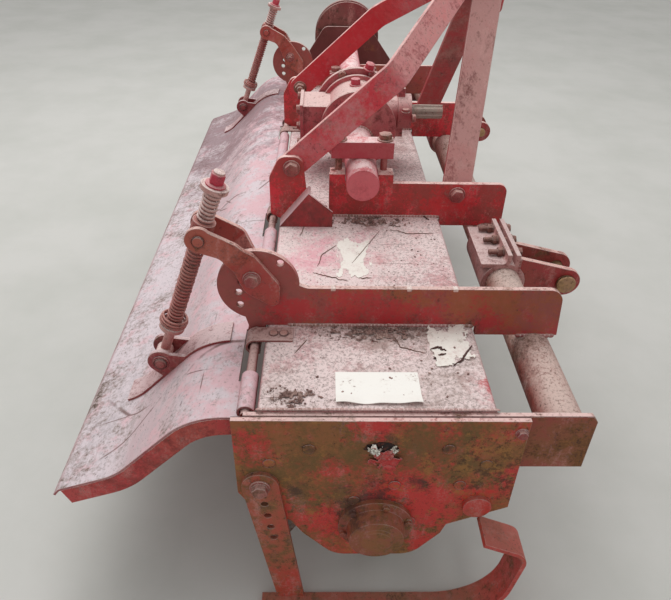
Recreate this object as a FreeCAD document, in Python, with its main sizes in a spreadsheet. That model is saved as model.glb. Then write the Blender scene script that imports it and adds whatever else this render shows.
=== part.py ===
import FreeCAD, Part
import Sketcher
import math
import os
import re

# Tractor-carried rotary tiller, 1.86 m wide, parked on its two side skids.
# Lengths are millimetres. Every outline is drawn from the rotor's own axis:
# x runs forward to the tractor, y to the machine's left, z up.
# "near" is the machine's right side, where y is negative, and "far" its left.

# Driving dimensions: name, value, what it is.
SIZES = (
    # whole machine
    ("work_width", 1860, "outer face to outer face of the two end plates"),
    ("axle_height", 232, "rotor axis above the floor"),
    # end plates and side frames
    ("end_wall", 9, "thickness of an end plate"),
    ("end_front", 223, "front edge of the end plate"),
    ("end_rear", -230, "rear edge of the end plate"),
    ("end_top", 249, "top edge of the end plate"),
    ("end_shoulder_front", 42, "where the front edge turns in under"),
    ("end_shoulder_rear", 82, "where the rear edge turns in under"),
    ("end_belly", -95, "lowest edge, under the rotor bearing"),
    ("end_belly_half", 70, "half length of the belly"),
    ("end_hip", 124, "half width of the plate at axis height"),
    ("side_wall", 9, "thickness of a side frame inside the end plate"),
    ("side_front", 328, "front edge of the side frame"),
    ("side_rear", -212, "rear edge of the side frame"),
    ("side_nose_low", 136, "underside of the side frame's nose"),
    ("side_low", 84, "lower edge of the side frame over the bearing"),
    ("horn_half", 84, "half length of the far side frame's upper edge"),
    ("horn_top", 410, "top of the far side frame, behind the side drive"),
    ("horn_front", 196, "where its front slope meets the deck"),
    ("horn_rear", -196, "where its rear slope meets the deck"),
    ("horn_corner", 30, "radius of its two upper corners"),
    # deck
    ("deck_top", 252, "top face of the deck sheet"),
    ("deck_wall", 5, "thickness of the deck sheet"),
    ("deck_front", 176, "front edge of the deck"),
    ("deck_rear", -192, "rear edge of the deck"),
    ("deck_lip", 24, "depth of the folded lips"),
    ("deck_bend", 8, "outer radius of the folds"),
    # front tube
    ("tube_x", 290, "front tube axis, forward of the rotor axis"),
    ("tube_z", 200, "front tube axis height"),
    ("tube_od", 73, "front tube outer diameter"),
    ("tube_wall", 7, "front tube wall"),
    # long braces on the deck, over the spring rods
    ("brace_y", 697, "middle of a long brace from the centreline"),
    ("brace_wall", 10, "thickness of a long brace"),
    ("brace_top", 331, "top edge of a long brace"),
    ("brace_front", 332, "front edge of a long brace"),
    ("brace_deep", 182, "where a long brace steps down over the tube"),
    ("brace_drop", 233, "lower edge of the step"),
    ("brace_slant", 8, "how far its front edge leans back at the top"),
    ("brace_corner", 26, "radius of its front upper corner"),
    ("head_x", -203, "centre of the brace's round head"),
    ("head_z", 335, "height of the round head's centre"),
    ("head_radius", 70, "radius of the round head"),
    ("ear_reach", 16, "radius of the brace's lower tip round the hinge rod"),
    ("hinge_x", -210, "hinge rod of the rear shield"),
    ("hinge_z", 240, "height of the hinge rod"),
    ("hinge_rod", 16, "diameter of the hinge rod"),
    # spring rod arms
    ("arm_wall", 8, "thickness of one arm"),
    ("arm_gap", 48, "clear gap between the two arms at the swivel"),
    ("arm_eye", 22, "radius of an arm's round end"),
    ("joggle_start", 46, "where an arm steps out, from the head's centre"),
    ("joggle_radius", 16, "radius of the arm's two bends"),
    ("joggle_angle", 35, "angle of the step, degrees"),
    ("head_hole", 13, "diameter of the spare holes in the head"),
    ("swivel_x", -289, "swivel block's axis"),
    ("swivel_z", 439, "height of the swivel block's axis"),
    ("swivel_pin", 16, "diameter of the swivel's trunnion pins"),
    # spring rods
    ("rod_od", 18, "diameter of a spring rod"),
    ("rod_foot_x", -385, "pin at the rod's foot, on the rear shield"),
    ("rod_foot_z", 182, "height of the foot pin"),
    ("rod_top", 384, "rod length from foot pin to its tip"),
    ("rod_washer_top", 352, "underside of the top washer, from the foot pin"),
    ("rod_washer_low", 72, "top of the lower washer, from the foot pin"),
    ("washer_od", 45, "diameter of a spring washer"),
    ("washer_wall", 8, "thickness of a spring washer"),
    ("spring_od", 29, "outer diameter of a spring"),
    ("spring_wire", 4.5, "spring wire"),
    ("foot_pin", 14, "diameter of the foot pin"),
    ("strap_y", 262, "inner hinge straps from the centreline"),
    ("strap_y_out", 732, "outer hinge straps from the centreline"),
    ("slot_y", 294, "middle of the wide slots by the inner straps"),
    ("slot_y_out", 763, "middle of the wide slots by the outer straps"),
    ("slot_width", 112, "width of those slots"),
    ("strap_width", 36, "width of a hinge strap"),
    ("strap_wall", 4, "hinge strap sheet"),
    ("strap_tail", 48, "length of a strap's tail on the deck"),
    ("slot_gap", 5, "play of a slot in the rolled edge to each side"),
    ("fit", 0.3, "running clearance of pins and eyes"),
    ("slide_fit", 2, "radial play of a rod in its swivel block"),
    # rear shield
    ("shield_wall", 4, "rear shield sheet"),
    ("shield_half", 905, "half width of the rear shield"),
    ("roll_radius", 14, "outer radius of the rolled hinge edge"),
    ("shield_flat", 35, "flat behind the hinge, before the brow"),
    ("brow_radius", 130, "upper bend of the shield"),
    ("slope", 45, "steepest slope of the shield, degrees"),
    ("slope_length", 117.5, "straight part of the slope"),
    ("heel_radius", 110, "lower bend of the shield"),
    ("tail_slope", 20, "slope of the tail, degrees"),
    ("tail_length", 80, "straight part of the tail"),
    ("lip_bend", 12, "radius of the bend before the lip"),
    ("lip_length", 12, "turned down lip at the tail's end"),
    ("lip_slope", 52, "slope of the turned down lip, degrees"),
    ("rim_depth", 35, "depth of the shield's end rims"),
    ("rim_wall", 6, "thickness of an end rim"),
    ("rim_start", 24, "where an end rim starts, behind the hinge"),
    ("foot_strap_wall", 5, "curved strap under a rod foot"),
    ("foot_strap_start", 46, "where that strap starts, behind the hinge"),
    ("foot_ear_wall", 7, "thickness of a rod foot's ear"),
    ("foot_ear_gap", 40, "gap between the two ears"),
    ("foot_ear_radius", 24, "round end of an ear"),
    ("foot_ear_tail", 62, "how far an ear runs on up the strap"),
    ("foot_ear_deep", 50, "depth of an ear below its pin, before it meets the shield"),
    # mast
    ("mast_y", 283, "middle of a mast plate from the centreline"),
    ("mast_wall", 12, "thickness of the mast bars"),
    ("mast_top", 335, "top edge of the mast's foot plates"),
    ("mast_front", 325, "front edge of the foot plates"),
    ("mast_deep", 179, "where a foot plate steps down over the tube"),
    ("mast_low", 230, "lower edge of that step, over the tube"),
    ("mast_saddle", -80, "rear end of a foot plate, at its saddle"),
    ("upright_x", 212, "lower bolt of an upright"),
    ("upright_z", 309, "height of that bolt"),
    ("upright_width", 65, "width of an upright"),
    ("stay_x", -163, "lower bolt of a rear stay"),
    ("stay_z", 374, "height of that bolt"),
    ("stay_width", 58, "width of a rear stay"),
    ("stay_straight", 280, "how far a stay runs straight up before it bends in"),
    ("stay_bend", 30, "radius of a stay's two bends"),
    ("stay_lean", 48, "angle that a stay leans in between them, degrees"),
    ("bracket_rear", -213, "rear edge of a stay bracket"),
    ("gusset_rear", -191, "rear corner of the folded gusset beside a bracket"),
    ("gusset_peak_x", -125, "peak of the gusset"),
    ("gusset_peak_z", 333, "height of the gusset's peak"),
    ("gusset_front", -72, "front edge of the gusset"),
    ("gusset_front_z", 289, "top of its front edge"),
    ("gusset_depth", 42, "how far the gusset stands out from its bracket"),
    ("gusset_wall", 5, "gusset sheet"),
    ("upright_top_x", 273, "where an upright meets its cheek"),
    ("upright_top_z", 684, "height of that joint"),
    ("stay_top_x", 236, "where a rear stay meets its cheek"),
    ("stay_top_z", 735, "height of that joint"),
    ("apex_x", 288, "top link hole"),
    ("apex_z", 756, "height of the top link hole"),
    ("apex_bore", 25.8, "top link hole diameter"),
    ("apex_nose", 34, "round end of a cheek"),
    ("head_gap", 56, "gap between the two top link cheeks"),
    # gearbox and cross drive
    ("cross_x", -7, "cross shaft axis"),
    ("cross_z", 352, "height of the cross shaft axis"),
    ("cross_od", 72, "outer diameter of the cross tubes"),
    ("cross_near", 340, "near end of the cross tube, from the centreline"),
    ("drum_z", 380, "height of the gear drum's centre"),
    ("drum_radius", 110, "radius of the drum's far flange"),
    ("drum_near", 94, "radius of its near flange"),
    ("drum_waist", 86, "radius of the drum between its flanges"),
    ("drum_half", 78, "half width of the gear drum"),
    ("drum_flange", 14, "width of a drum flange"),
    ("drum_ring", 97, "radius of the ring beside the far flange"),
    ("drum_ring_width", 10, "width of that ring"),
    ("drum_groove", 8, "gap between the ring and the far flange"),
    ("box_rear", -152, "rear face of the box behind the drum"),
    ("box_front", -60, "where that box ends inside the drum"),
    ("box_half", 59, "half width of the box"),
    ("box_low", 330, "underside of the box"),
    ("box_top", 430, "top of the box"),
    ("box_lid", 8, "thickness of the lid behind the box"),
    ("input_z", 402, "input shaft axis height"),
    ("input_od", 86, "input bearing cap diameter"),
    ("input_front", 128, "front face of the input cap"),
    ("cap_length", 34, "length of the input cap"),
    ("neck_step", 7, "how much slimmer the neck is than the cap"),
    ("cap_ear", 30, "width of the cap's ears"),
    ("cap_ear_reach", 62, "how far an ear stands out from the shaft's axis"),
    ("spline_od", 34.9, "splined input shaft outer diameter"),
    ("spline_root", 29.6, "diameter between the splines"),
    ("spline_wide", 8.6, "width of a spline"),
    ("spline_count", 6, "splines on the input shaft"),
    ("spline_run", 8, "plain shaft ahead of the cap"),
    ("spline_front", 210, "end of the input shaft"),
    ("clamp_length", 138, "length of a cross tube clamp"),
    ("clamp_depth", 36, "depth of a clamp"),
    ("clamp_height", 37, "height of the clamp's cap"),
    ("saddle_height", 4, "top edge of a saddle above the cross shaft's axis"),
    ("saddle_play", 1, "play of the cross tube in its saddle"),
    ("saddle_block", 34, "length of a block beside the tube"),
    ("saddle_block_low", 60, "height of that block"),
    ("saddle_block_top", 4, "top of that block above the cross shaft's axis"),
    # side drive
    ("case_radius", 112, "side drive case round the rotor end"),
    ("case_top_radius", 108, "side drive case round the cross shaft"),
    ("case_depth", 44, "depth of the side drive case"),
    ("case_rim", 12, "width of the bolted rim"),
    ("case_rim_wall", 8, "thickness of each bolted rim"),
    ("case_rise", 20, "centre of the case's upper end above the cross shaft"),
    ("cover_wall", 8, "thickness of the side drive's cover"),
    ("cover_boss", 4, "how far the cover's bosses stand out"),
    ("low_boss", 52, "radius of the cover's lower boss"),
    ("high_boss", 46, "radius of its upper boss"),
    # lower hitch
    ("hitch_y", 443, "middle of a lower hitch from the centreline"),
    ("hitch_gap", 54, "gap between the two lugs"),
    ("lug_wall", 12, "thickness of a lug"),
    ("hitch_x", 425, "lower hitch pin axis"),
    ("hitch_z", 200, "height of the lower hitch pin"),
    ("hitch_bore", 28.8, "lower hitch hole diameter"),
    ("lug_nose", 32, "round nose of a lug"),
    ("yoke_y", 405, "middle of the shell clamped round the tube"),
    ("yoke_wall", 10, "wall of that shell"),
    ("yoke_half", 80, "half width of the shell"),
    ("yoke_flange", 9, "thickness of the shell's two flanges"),
    ("yoke_flange_gap", 9, "gap between them"),
    ("yoke_flange_top", 68, "top of the flanges above the tube's axis"),
    ("yoke_rear", 52, "how far the flat plate on the tube runs back from the axis"),
    ("yoke_bend", 14, "radius of the fold between that plate and its flange"),
    ("lug_heel", 58, "rear corner of a lug above the tube's axis"),
    # rotor
    ("shaft_od", 89, "rotor shaft tube"),
    ("shaft_play", 28, "gap from the rotor tube's end to a side frame"),
    ("stub_od", 44, "rotor stub shafts"),
    ("hub_radius", 64, "bearing hub flange"),
    ("hub_boss", 50, "bearing hub boss"),
    ("hub_plate", 9, "thickness of the hub's flange"),
    ("hub_nose", 30, "radius of the hub's nose"),
    ("hub_reach", 40, "how far the hub stands out from the end plate"),
    ("hub_cap", 12, "thickness of the hub's end cap"),
    ("hub_lip", 4, "how far the nose stands out from the boss"),
    ("flange_radius", 118, "tine flange"),
    ("flange_wall", 9, "thickness of a tine flange"),
    ("flange_inset", 28, "outermost tine flange in from the rotor tube's end"),
    ("flange_count", 8, "tine flanges on the rotor"),
    ("tine_count", 6, "tines on one flange"),
    ("tine_tip", 222, "radius of the tine tips"),
    ("tine_wall", 8, "thickness of a tine"),
    ("tine_width", 62, "width of a tine at its root"),
    ("tine_foot", 76, "sideways length of a tine's blade"),
    ("tine_bend", 26, "outer radius of the tine's bend"),
    ("tine_root", 72, "radius where a tine starts on its flange"),
    ("tine_edge", 150, "radius where a tine is slimmest"),
    ("tine_sweep", 32, "how far the blade's middle trails at the tip"),
    ("tine_tip_width", 62, "width of a tine at its tip"),
    ("tine_lag", 24, "angle between one flange and the next, degrees"),
    # skids
    ("skid_width", 56, "width of a skid sole"),
    ("skid_wall", 8, "thickness of a skid sole"),
    ("skid_rear", -205, "rear end of a skid sole"),
    ("skid_toe", 118, "where the sole starts to curve up"),
    ("skid_rise_radius", 125, "radius of the sole's front curve"),
    ("skid_rise", 82, "how far round the front curve goes, degrees"),
    ("skid_front_run", 74, "straight part above the front curve"),
    ("skid_eye_x", 168, "bolt of the skid's front end"),
    ("skid_eye_z", 49, "height of that bolt"),
    ("strut_wall", 8, "thickness of the skid's rear strut"),
    ("strut_width", 50, "width of the rear strut at its foot"),
    ("strut_head", 30, "radius of the strut's round upper end"),
    ("strut_top_x", -192, "upper end of the rear strut"),
    ("strut_top_z", 104, "height of the strut's upper end"),
    ("strut_foot_x", -150, "foot of the rear strut on the sole"),
    ("strut_pitch", 31, "spacing of the holes that set the skid's depth"),
    ("strut_hole", 13, "diameter of those holes"),
    ("strut_hole_count", 5, "holes in a strut"),
    ("eye_length", 28, "length of the spring rod's eye"),
    ("eye_radius", 15, "radius of the spring rod's eye"),
    ("block_half", 20, "half length of the swivel block along the rod"),
    ("block_radius", 19, "radius of the swivel block"),
    ("skid_eye", 24, "radius of the skid's front eye"),
    ("skid_top_radius", 34, "radius of the bend above the front run"),
    ("skid_top_turn", 155, "how far round the bar has turned above it, degrees"),
    ("skid_return", 62, "last straight part, back to the eye"),
)

# Sizes that follow from the ones above: name, expression, what it is.
DERIVED = (
    ("inner_half", "work_width / 2 - end_wall - side_wall", "inner faces of the side frames"),
    ("reach", "work_width / 2 + hub_reach", "outermost face of the near hub"),
    ("shaft_half", "inner_half - shaft_play", "half length of the rotor tube"),
    ("flange_reach", "shaft_half - flange_inset", "outermost tine flange"),
    ("strut_lean", "(strut_foot_x - strut_top_x) / (strut_top_z + axle_height)", "lean of a strut"),
    ("roll_middle", "roll_radius - shield_wall / 2", "rolled edge to the middle of the sheet"),
    ("brow_middle", "brow_radius - shield_wall / 2", "brow to the middle of the sheet"),
    ("heel_middle", "heel_radius + shield_wall / 2", "heel to the middle of the sheet"),
)

SIDES = (("near", -1), ("far", 1))

doc = FreeCAD.newDocument("rotary_tiller")
sizes = doc.addObject("Spreadsheet::Sheet", "Sizes")


def fill_sheet():
    for row, (name, number, meaning) in enumerate(SIZES, start=1):
        set_row(row, name, str(number), meaning)
    for row, (name, text, meaning) in enumerate(DERIVED, start=len(SIZES) + 1):
        set_row(row, name, "=" + text, meaning)
    doc.recompute()


def set_row(row, name, content, meaning):
    sizes.set("A%d" % row, name)
    sizes.set("B%d" % row, content)
    sizes.set("C%d" % row, meaning)
    sizes.setAlias("B%d" % row, name)


fill_sheet()


def value(text):
    """Number that an expression on the sheet's names comes to."""
    return float(sizes.evalExpression(str(text)))


def bound(text):
    """The same expression as other objects write it."""
    words = r"(?<![\w.])(?!sin\b|cos\b|tan\b|atan\b|sqrt\b|deg\b)([a-z]\w*)"
    return re.sub(words, r"Sizes.\1", str(text))


def vec(x, y, z):
    return FreeCAD.Vector(x, y, z)


# A bent sheet is a path of straight runs and tangent arcs, seen from the side.
# A step is ("run", length) or ("bend", radius to the sheet's middle, degrees),
# where a positive bend turns to the left of the way the path goes.
def bent_strip(start, heading, steps, wall):
    """Outline of a sheet of one thickness along a path, as a closed wire."""
    half = wall / 2
    spot = vec(start[0], 0, start[1])
    way = math.radians(heading)
    left, right = [], []

    def side(point, direction, offset):
        return point + vec(-math.sin(direction), 0, math.cos(direction)) * offset

    begin = Part.LineSegment(side(spot, way, -half), side(spot, way, half))
    for step in steps:
        if step[0] == "run":
            end = spot + vec(math.cos(way), 0, math.sin(way)) * step[1]
            left.append(Part.LineSegment(side(spot, way, half), side(end, way, half)))
            right.append(Part.LineSegment(side(spot, way, -half), side(end, way, -half)))
            spot = end
            continue
        radius, sweep = step[1], math.radians(step[2])
        hand = 1 if sweep > 0 else -1
        centre = side(spot, way, hand * radius)
        half_way = side(centre, way + sweep / 2, -hand * radius)
        end = side(centre, way + sweep, -hand * radius)
        for edges, offset in ((left, half), (right, -half)):
            first = side(spot, way, offset)
            middle = side(half_way, way + sweep / 2, offset)
            last = side(end, way + sweep, offset)
            edges.append(Part.Arc(first, middle, last))
        spot = end
        way += sweep
    finish = Part.LineSegment(side(spot, way, half), side(spot, way, -half))
    edges = [begin.toShape()] + [e.toShape() for e in left] + [finish.toShape()]
    edges += [e.toShape() for e in reversed(right)]
    return Part.Wire(Part.__sortEdges__(edges))


# Rear shield in side view: rolled hinge edge, brow, slope, heel, tail and lip.
def shield_path(offset):
    """Steps from the flat to the tail, for a sheet lying over (+) or under (-) the shield."""
    return (
        ("bend", value("brow_middle") + offset, value("slope")),
        ("run", value("slope_length")),
        ("bend", value("heel_middle") - offset, value("tail_slope - slope")),
        ("run", value("tail_length")),
    )


ROLL_TURN = 300
roll_middle = value("roll_middle")
shield_steps = (
    ("bend", roll_middle, -ROLL_TURN),
    ("run", value("shield_flat")),
    *shield_path(0),
    ("bend", value("lip_bend"), value("lip_slope - tail_slope")),
    ("run", value("lip_length")),
)
roll_angle = math.radians(ROLL_TURN - 90)
roll_start = (
    value("hinge_x") + roll_middle * math.cos(roll_angle),
    value("hinge_z") + roll_middle * math.sin(roll_angle),
)
shield_wire = bent_strip(roll_start, ROLL_TURN - 180, shield_steps, value("shield_wall"))

# The origin lies on the floor, midway between the shield's tail and the hitch noses.
rear_reach = -shield_wire.BoundBox.XMin
rotor_x = (rear_reach - value("hitch_x + lug_nose")) / 2
origin_row = len(SIZES) + len(DERIVED) + 1
set_row(origin_row, "rotor_x", str(rotor_x), "rotor axis forward of the origin")
doc.recompute()


def place(part, x="0", y="0", z="0", axis=None, angle="0"):
    """Put a part's own zero at a point given from the rotor's axis."""
    turn = FreeCAD.Rotation(axis or vec(0, 0, 1), value(angle))
    spot = vec(value("rotor_x + (%s)" % x), value(y), value("axle_height + (%s)" % z))
    part.Placement = FreeCAD.Placement(spot, turn)
    part.setExpression("Placement.Base.x", bound("rotor_x + (%s)" % x))
    part.setExpression("Placement.Base.y", bound(y))
    part.setExpression("Placement.Base.z", bound("axle_height + (%s)" % z))
    return part


def new_body(label):
    body = doc.addObject("PartDesign::Body", label)
    body.Label = label
    return body


def new_sketch(body, role, label="outline"):
    sketch = body.newObject("Sketcher::SketchObject", label)
    for feature in body.Origin.OriginFeatures:
        if feature.Role == role:
            sketch.AttachmentSupport = [(feature, "")]
    sketch.MapMode = "FlatFace"
    return sketch


def tie(sketch, kind, text, *places):
    """Add a dimension to a sketch and bind it to the sheet."""
    index = sketch.addConstraint(Sketcher.Constraint(kind, *places, value(text)))
    sketch.setExpression("Constraints[%d]" % index, bound(text))


def circle(sketch, u, v, radius):
    spot = vec(value(u), value(v), 0)
    ring = sketch.addGeometry(Part.Circle(spot, vec(0, 0, 1), value(radius)), False)
    tie(sketch, "Radius", radius, ring)
    tie(sketch, "DistanceX", u, -1, 1, ring, 3)
    tie(sketch, "DistanceY", v, -1, 1, ring, 3)


def polygon(sketch, corners):
    """Closed outline. A corner is (u, v), or (u, v, radius) where it is rounded."""
    count = len(corners)
    spots = [vec(value(c[0]), value(c[1]), 0) for c in corners]
    starts, ends, arcs = [], [], {}
    for i, corner in enumerate(corners):
        if len(corner) < 3:
            starts.append(spots[i])
            ends.append(spots[i])
            continue
        into = (spots[i] - spots[i - 1]).normalize()
        out = (spots[(i + 1) % count] - spots[i]).normalize()
        turn = math.acos(max(-1, min(1, into.dot(out))))
        cut = value(corner[2]) * math.tan(turn / 2)
        first = spots[i] - into * cut
        last = spots[i] + out * cut
        inward = (out - into).normalize()
        centre = spots[i] + inward * (value(corner[2]) / math.cos(turn / 2))
        whole = Part.Circle(centre, vec(0, 0, 1), value(corner[2]))
        sweep = (whole.parameter(first), whole.parameter(last))
        if into.cross(out).z < 0:
            sweep = (sweep[1], sweep[0])
        arcs[i] = Part.ArcOfCircle(whole, *sweep)
        ends.append(first)
        starts.append(last)
    points = [sketch.addGeometry(Part.Point(spot), True) for spot in spots]
    lines = [
        sketch.addGeometry(Part.LineSegment(starts[i], ends[(i + 1) % count]), False)
        for i in range(count)
    ]
    for i, corner in enumerate(corners):
        tie(sketch, "DistanceX", corner[0], -1, 1, points[i], 1)
        tie(sketch, "DistanceY", corner[1], -1, 1, points[i], 1)
        before = lines[i - 1]
        if i not in arcs:
            sketch.addConstraint(Sketcher.Constraint("Coincident", before, 2, points[i], 1))
            sketch.addConstraint(Sketcher.Constraint("Coincident", lines[i], 1, points[i], 1))
            continue
        arc = sketch.addGeometry(arcs[i], False)
        begin = sketch.Geometry[arc].StartPoint
        first, last = (1, 2) if begin.distanceToPoint(ends[i]) < 1e-4 else (2, 1)
        sketch.addConstraint(Sketcher.Constraint("PointOnObject", points[i], 1, before))
        sketch.addConstraint(Sketcher.Constraint("PointOnObject", points[i], 1, lines[i]))
        sketch.addConstraint(Sketcher.Constraint("Tangent", before, 2, arc, first))
        sketch.addConstraint(Sketcher.Constraint("Tangent", lines[i], 1, arc, last))
        tie(sketch, "Radius", corner[2], arc)


def pad(body, sketch, length):
    """Thicken a sketch by the same amount to both sides."""
    feature = body.newObject("PartDesign::Pad", "thickness")
    feature.Profile = sketch
    feature.SideType = "Symmetric"
    feature.Length = value(length)
    feature.setExpression("Length", bound(length))
    sketch.Visibility = False
    return feature


def pocket(body, sketch, length):
    """Cut a sketch out by the same amount to both sides."""
    feature = body.newObject("PartDesign::Pocket", "cut")
    feature.Profile = sketch
    feature.SideType = "Symmetric"
    feature.Length = value(length)
    feature.setExpression("Length", bound(length))
    sketch.Visibility = False
    return feature


def plate(label, wall, corners=(), rounds=(), holes=(), y="0", role="XZ_Plane"):
    """Flat plate or tube across the machine, drawn in side view and centred on y."""
    body = new_body(label)
    sketch = new_sketch(body, role)
    if corners:
        polygon(sketch, corners)
    else:
        for spot in holes:
            circle(sketch, *spot)
    pad(body, sketch, wall)
    for spot in rounds:
        head = new_sketch(body, role, "round_end")
        circle(head, *spot)
        pad(body, head, wall)
    if corners and holes:
        drilled = new_sketch(body, role, "holes")
        for spot in holes:
            circle(drilled, *spot)
        pocket(body, drilled, "2 * (%s)" % wall)
    place(body, y=y)
    return body


def turned(label, profile):
    """Round piece turned about its own y axis; a corner is (radius, along)."""
    body = new_body(label)
    sketch = new_sketch(body, "XY_Plane", "profile")
    polygon(sketch, profile)
    feature = body.newObject("PartDesign::Revolution", "turned")
    feature.Profile = sketch
    feature.ReferenceAxis = (sketch, ["V_Axis"])
    feature.Angle = 360
    sketch.Visibility = False
    return body


def block(label, size, low):
    """Box whose low corner is given from the rotor's axis."""
    box = doc.addObject("Part::Box", label)
    for name, text in zip(("Length", "Width", "Height"), size):
        setattr(box, name, value(text))
        box.setExpression(name, bound(text))
    place(box, *low)
    return box


def joined(label, pieces):
    """One piece made of several that are welded together."""
    fuse = doc.addObject("Part::MultiFuse", label)
    fuse.Label = label
    fuse.Shapes = pieces
    return fuse


def group(label, pieces):
    """Like pieces of one body that do not touch, kept as one sub-part."""
    bunch = doc.addObject("Part::Compound", label)
    bunch.Label = label
    bunch.Links = pieces
    return bunch


def shared(label, pieces):
    """What several pieces have in common."""
    common = doc.addObject("Part::MultiCommon", label)
    common.Label = label
    common.Shapes = pieces
    return common


def raw(label, shape):
    """Piece whose form comes straight from a shape worked out from the sheet."""
    feature = doc.addObject("Part::Feature", label)
    feature.Label = label
    if not shape.Placement.isIdentity():
        shape = Part.makeCompound([shape])
    feature.Shape = shape
    return place(feature)


def strip_solid(wire, low_y, high_y):
    """The bent sheet between two planes across the machine."""
    face = Part.Face(wire)
    face.translate(vec(0, low_y, 0))
    return face.extrude(vec(0, high_y - low_y, 0))


def tube_between(start, end, radius, bore=0):
    """Round bar or tube from one point to another, from the rotor's axis."""
    way = end - start
    solid = Part.makeCylinder(radius, way.Length, start, way)
    if bore:
        solid = solid.cut(Part.makeCylinder(bore, way.Length, start, way))
    return solid


nodes = {}


def keep(part):
    nodes[part.Label] = part
    return part


# Outer end plates: hexagonal side sheets with a round belly under the bearing.
END_OUTLINE = (
    ("end_rear", "end_top"),
    ("end_front", "end_top"),
    ("end_front", "end_shoulder_front"),
    ("end_hip", "-6"),
    ("end_hip - 8", "end_belly / 3"),
    ("end_belly_half", "end_belly", "45"),
    ("-end_belly_half", "end_belly", "45"),
    ("-end_hip", "end_belly / 3"),
    ("-end_hip - 22", "6"),
    ("end_rear + 28", "28"),
    ("end_rear", "end_shoulder_rear"),
)
for side, sign in SIDES:
    keep(plate(
        "end_plate_" + side, "end_wall", END_OUTLINE,
        holes=(("0", "0", "stub_od / 2 + 8"),),
        y="%d * (work_width - end_wall) / 2" % sign,
    ))

# Side frames inside the end plates: they carry the deck and the front tube.
SIDE_OUTLINE = (
    ("side_rear", "side_low"),
    ("side_rear", "end_top + 1"),
    ("side_front - 8", "end_top + 1"),
    ("side_front", "end_top - 10"),
    ("side_front", "side_nose_low"),
    ("end_front - 20", "side_nose_low"),
    ("end_front - 60", "side_low"),
)
HORN_OUTLINE = SIDE_OUTLINE[:2] + (
    ("horn_rear", "end_top + 1"),
    ("cross_x - horn_half", "horn_top", "horn_corner"),
    ("cross_x + horn_half", "horn_top", "horn_corner"),
    ("horn_front", "end_top + 1"),
) + SIDE_OUTLINE[2:]
for side, sign in SIDES:
    keep(plate(
        "side_frame_" + side, "side_wall", HORN_OUTLINE if side == "far" else SIDE_OUTLINE,
        y="%d * (work_width / 2 - end_wall - side_wall / 2)" % sign,
    ))

INNER = "2 * inner_half"

# Deck: flat sheet over the rotor with a folded lip front and rear.
DECK_OUTLINE = (
    ("deck_rear", "deck_top - deck_lip"),
    ("deck_rear", "deck_top", "deck_bend"),
    ("deck_front", "deck_top", "deck_bend"),
    ("deck_front", "deck_top - deck_lip"),
    ("deck_front - deck_wall", "deck_top - deck_lip"),
    ("deck_front - deck_wall", "deck_top - deck_wall", "deck_bend - deck_wall"),
    ("deck_rear + deck_wall", "deck_top - deck_wall", "deck_bend - deck_wall"),
    ("deck_rear + deck_wall", "deck_top - deck_lip"),
)
keep(plate("deck", INNER, DECK_OUTLINE))

# Front tube between the side frames.
TUBE_RINGS = (
    ("tube_x", "tube_z", "tube_od / 2"),
    ("tube_x", "tube_z", "tube_od / 2 - tube_wall"),
)
keep(plate("front_tube", INNER, holes=TUBE_RINGS))

# Long braces: each ends in the round head that carries the spring rod's arms.
BRACE_OUTLINE = (
    ("hinge_x + ear_reach", "deck_top"),
    ("hinge_x + ear_reach * 0.7", "hinge_z"),
    ("hinge_x - ear_reach * 0.7", "hinge_z"),
    ("head_x - head_radius * 0.6", "head_z"),
    ("head_x", "head_z + 30"),
    ("head_x + head_radius + 14", "brace_top", "24"),
    ("brace_front - brace_slant", "brace_top", "brace_corner"),
    ("brace_front", "brace_drop"),
    ("brace_deep", "brace_drop"),
    ("brace_deep", "deck_top"),
)
BRACE_HOLES = (
    ("hinge_x", "hinge_z", "hinge_rod / 2 + fit"),
    ("tube_x", "tube_z", "tube_od / 2"),
    ("head_x + 39", "head_z + 47", "head_hole / 2"),
    ("head_x - 28", "head_z + 8", "head_hole / 2"),
    ("head_x - 34", "head_z - 12", "head_hole / 2"),
    ("head_x - 33", "head_z - 38", "head_hole / 2"),
)
CROSS_TUBE_HOLE = ("cross_x", "cross_z", "cross_od / 2 + fit")
for side, sign in SIDES:
    keep(plate(
        "brace_" + side, "brace_wall", BRACE_OUTLINE,
        rounds=(("head_x", "head_z", "head_radius"), ("hinge_x", "hinge_z", "ear_reach")),
        holes=BRACE_HOLES + ((CROSS_TUBE_HOLE,) if side == "far" else ()),
        y="%d * brace_y" % sign,
    ))

# Two arms on each head, stepped apart behind it, reach back to the swivel block.
ARM_OUTLINE = (
    ("head_x + 34", "head_z - 44", "12"),
    ("head_x + 38", "head_z + 6", "20"),
    ("swivel_x + 62", "swivel_z - 10", "40"),
    ("swivel_x + 4", "swivel_z + arm_eye * 0.96"),
    ("swivel_x - 4", "swivel_z - arm_eye * 0.96"),
    ("swivel_x + 34", "swivel_z - arm_eye - 12", "24"),
    ("head_x - 22", "head_z - 8", "30"),
)
ARM_EYE = (("swivel_x", "swivel_z", "arm_eye"),)
ARM_HOLE = (("swivel_x", "swivel_z", "swivel_pin / 2 + fit"),)


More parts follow.
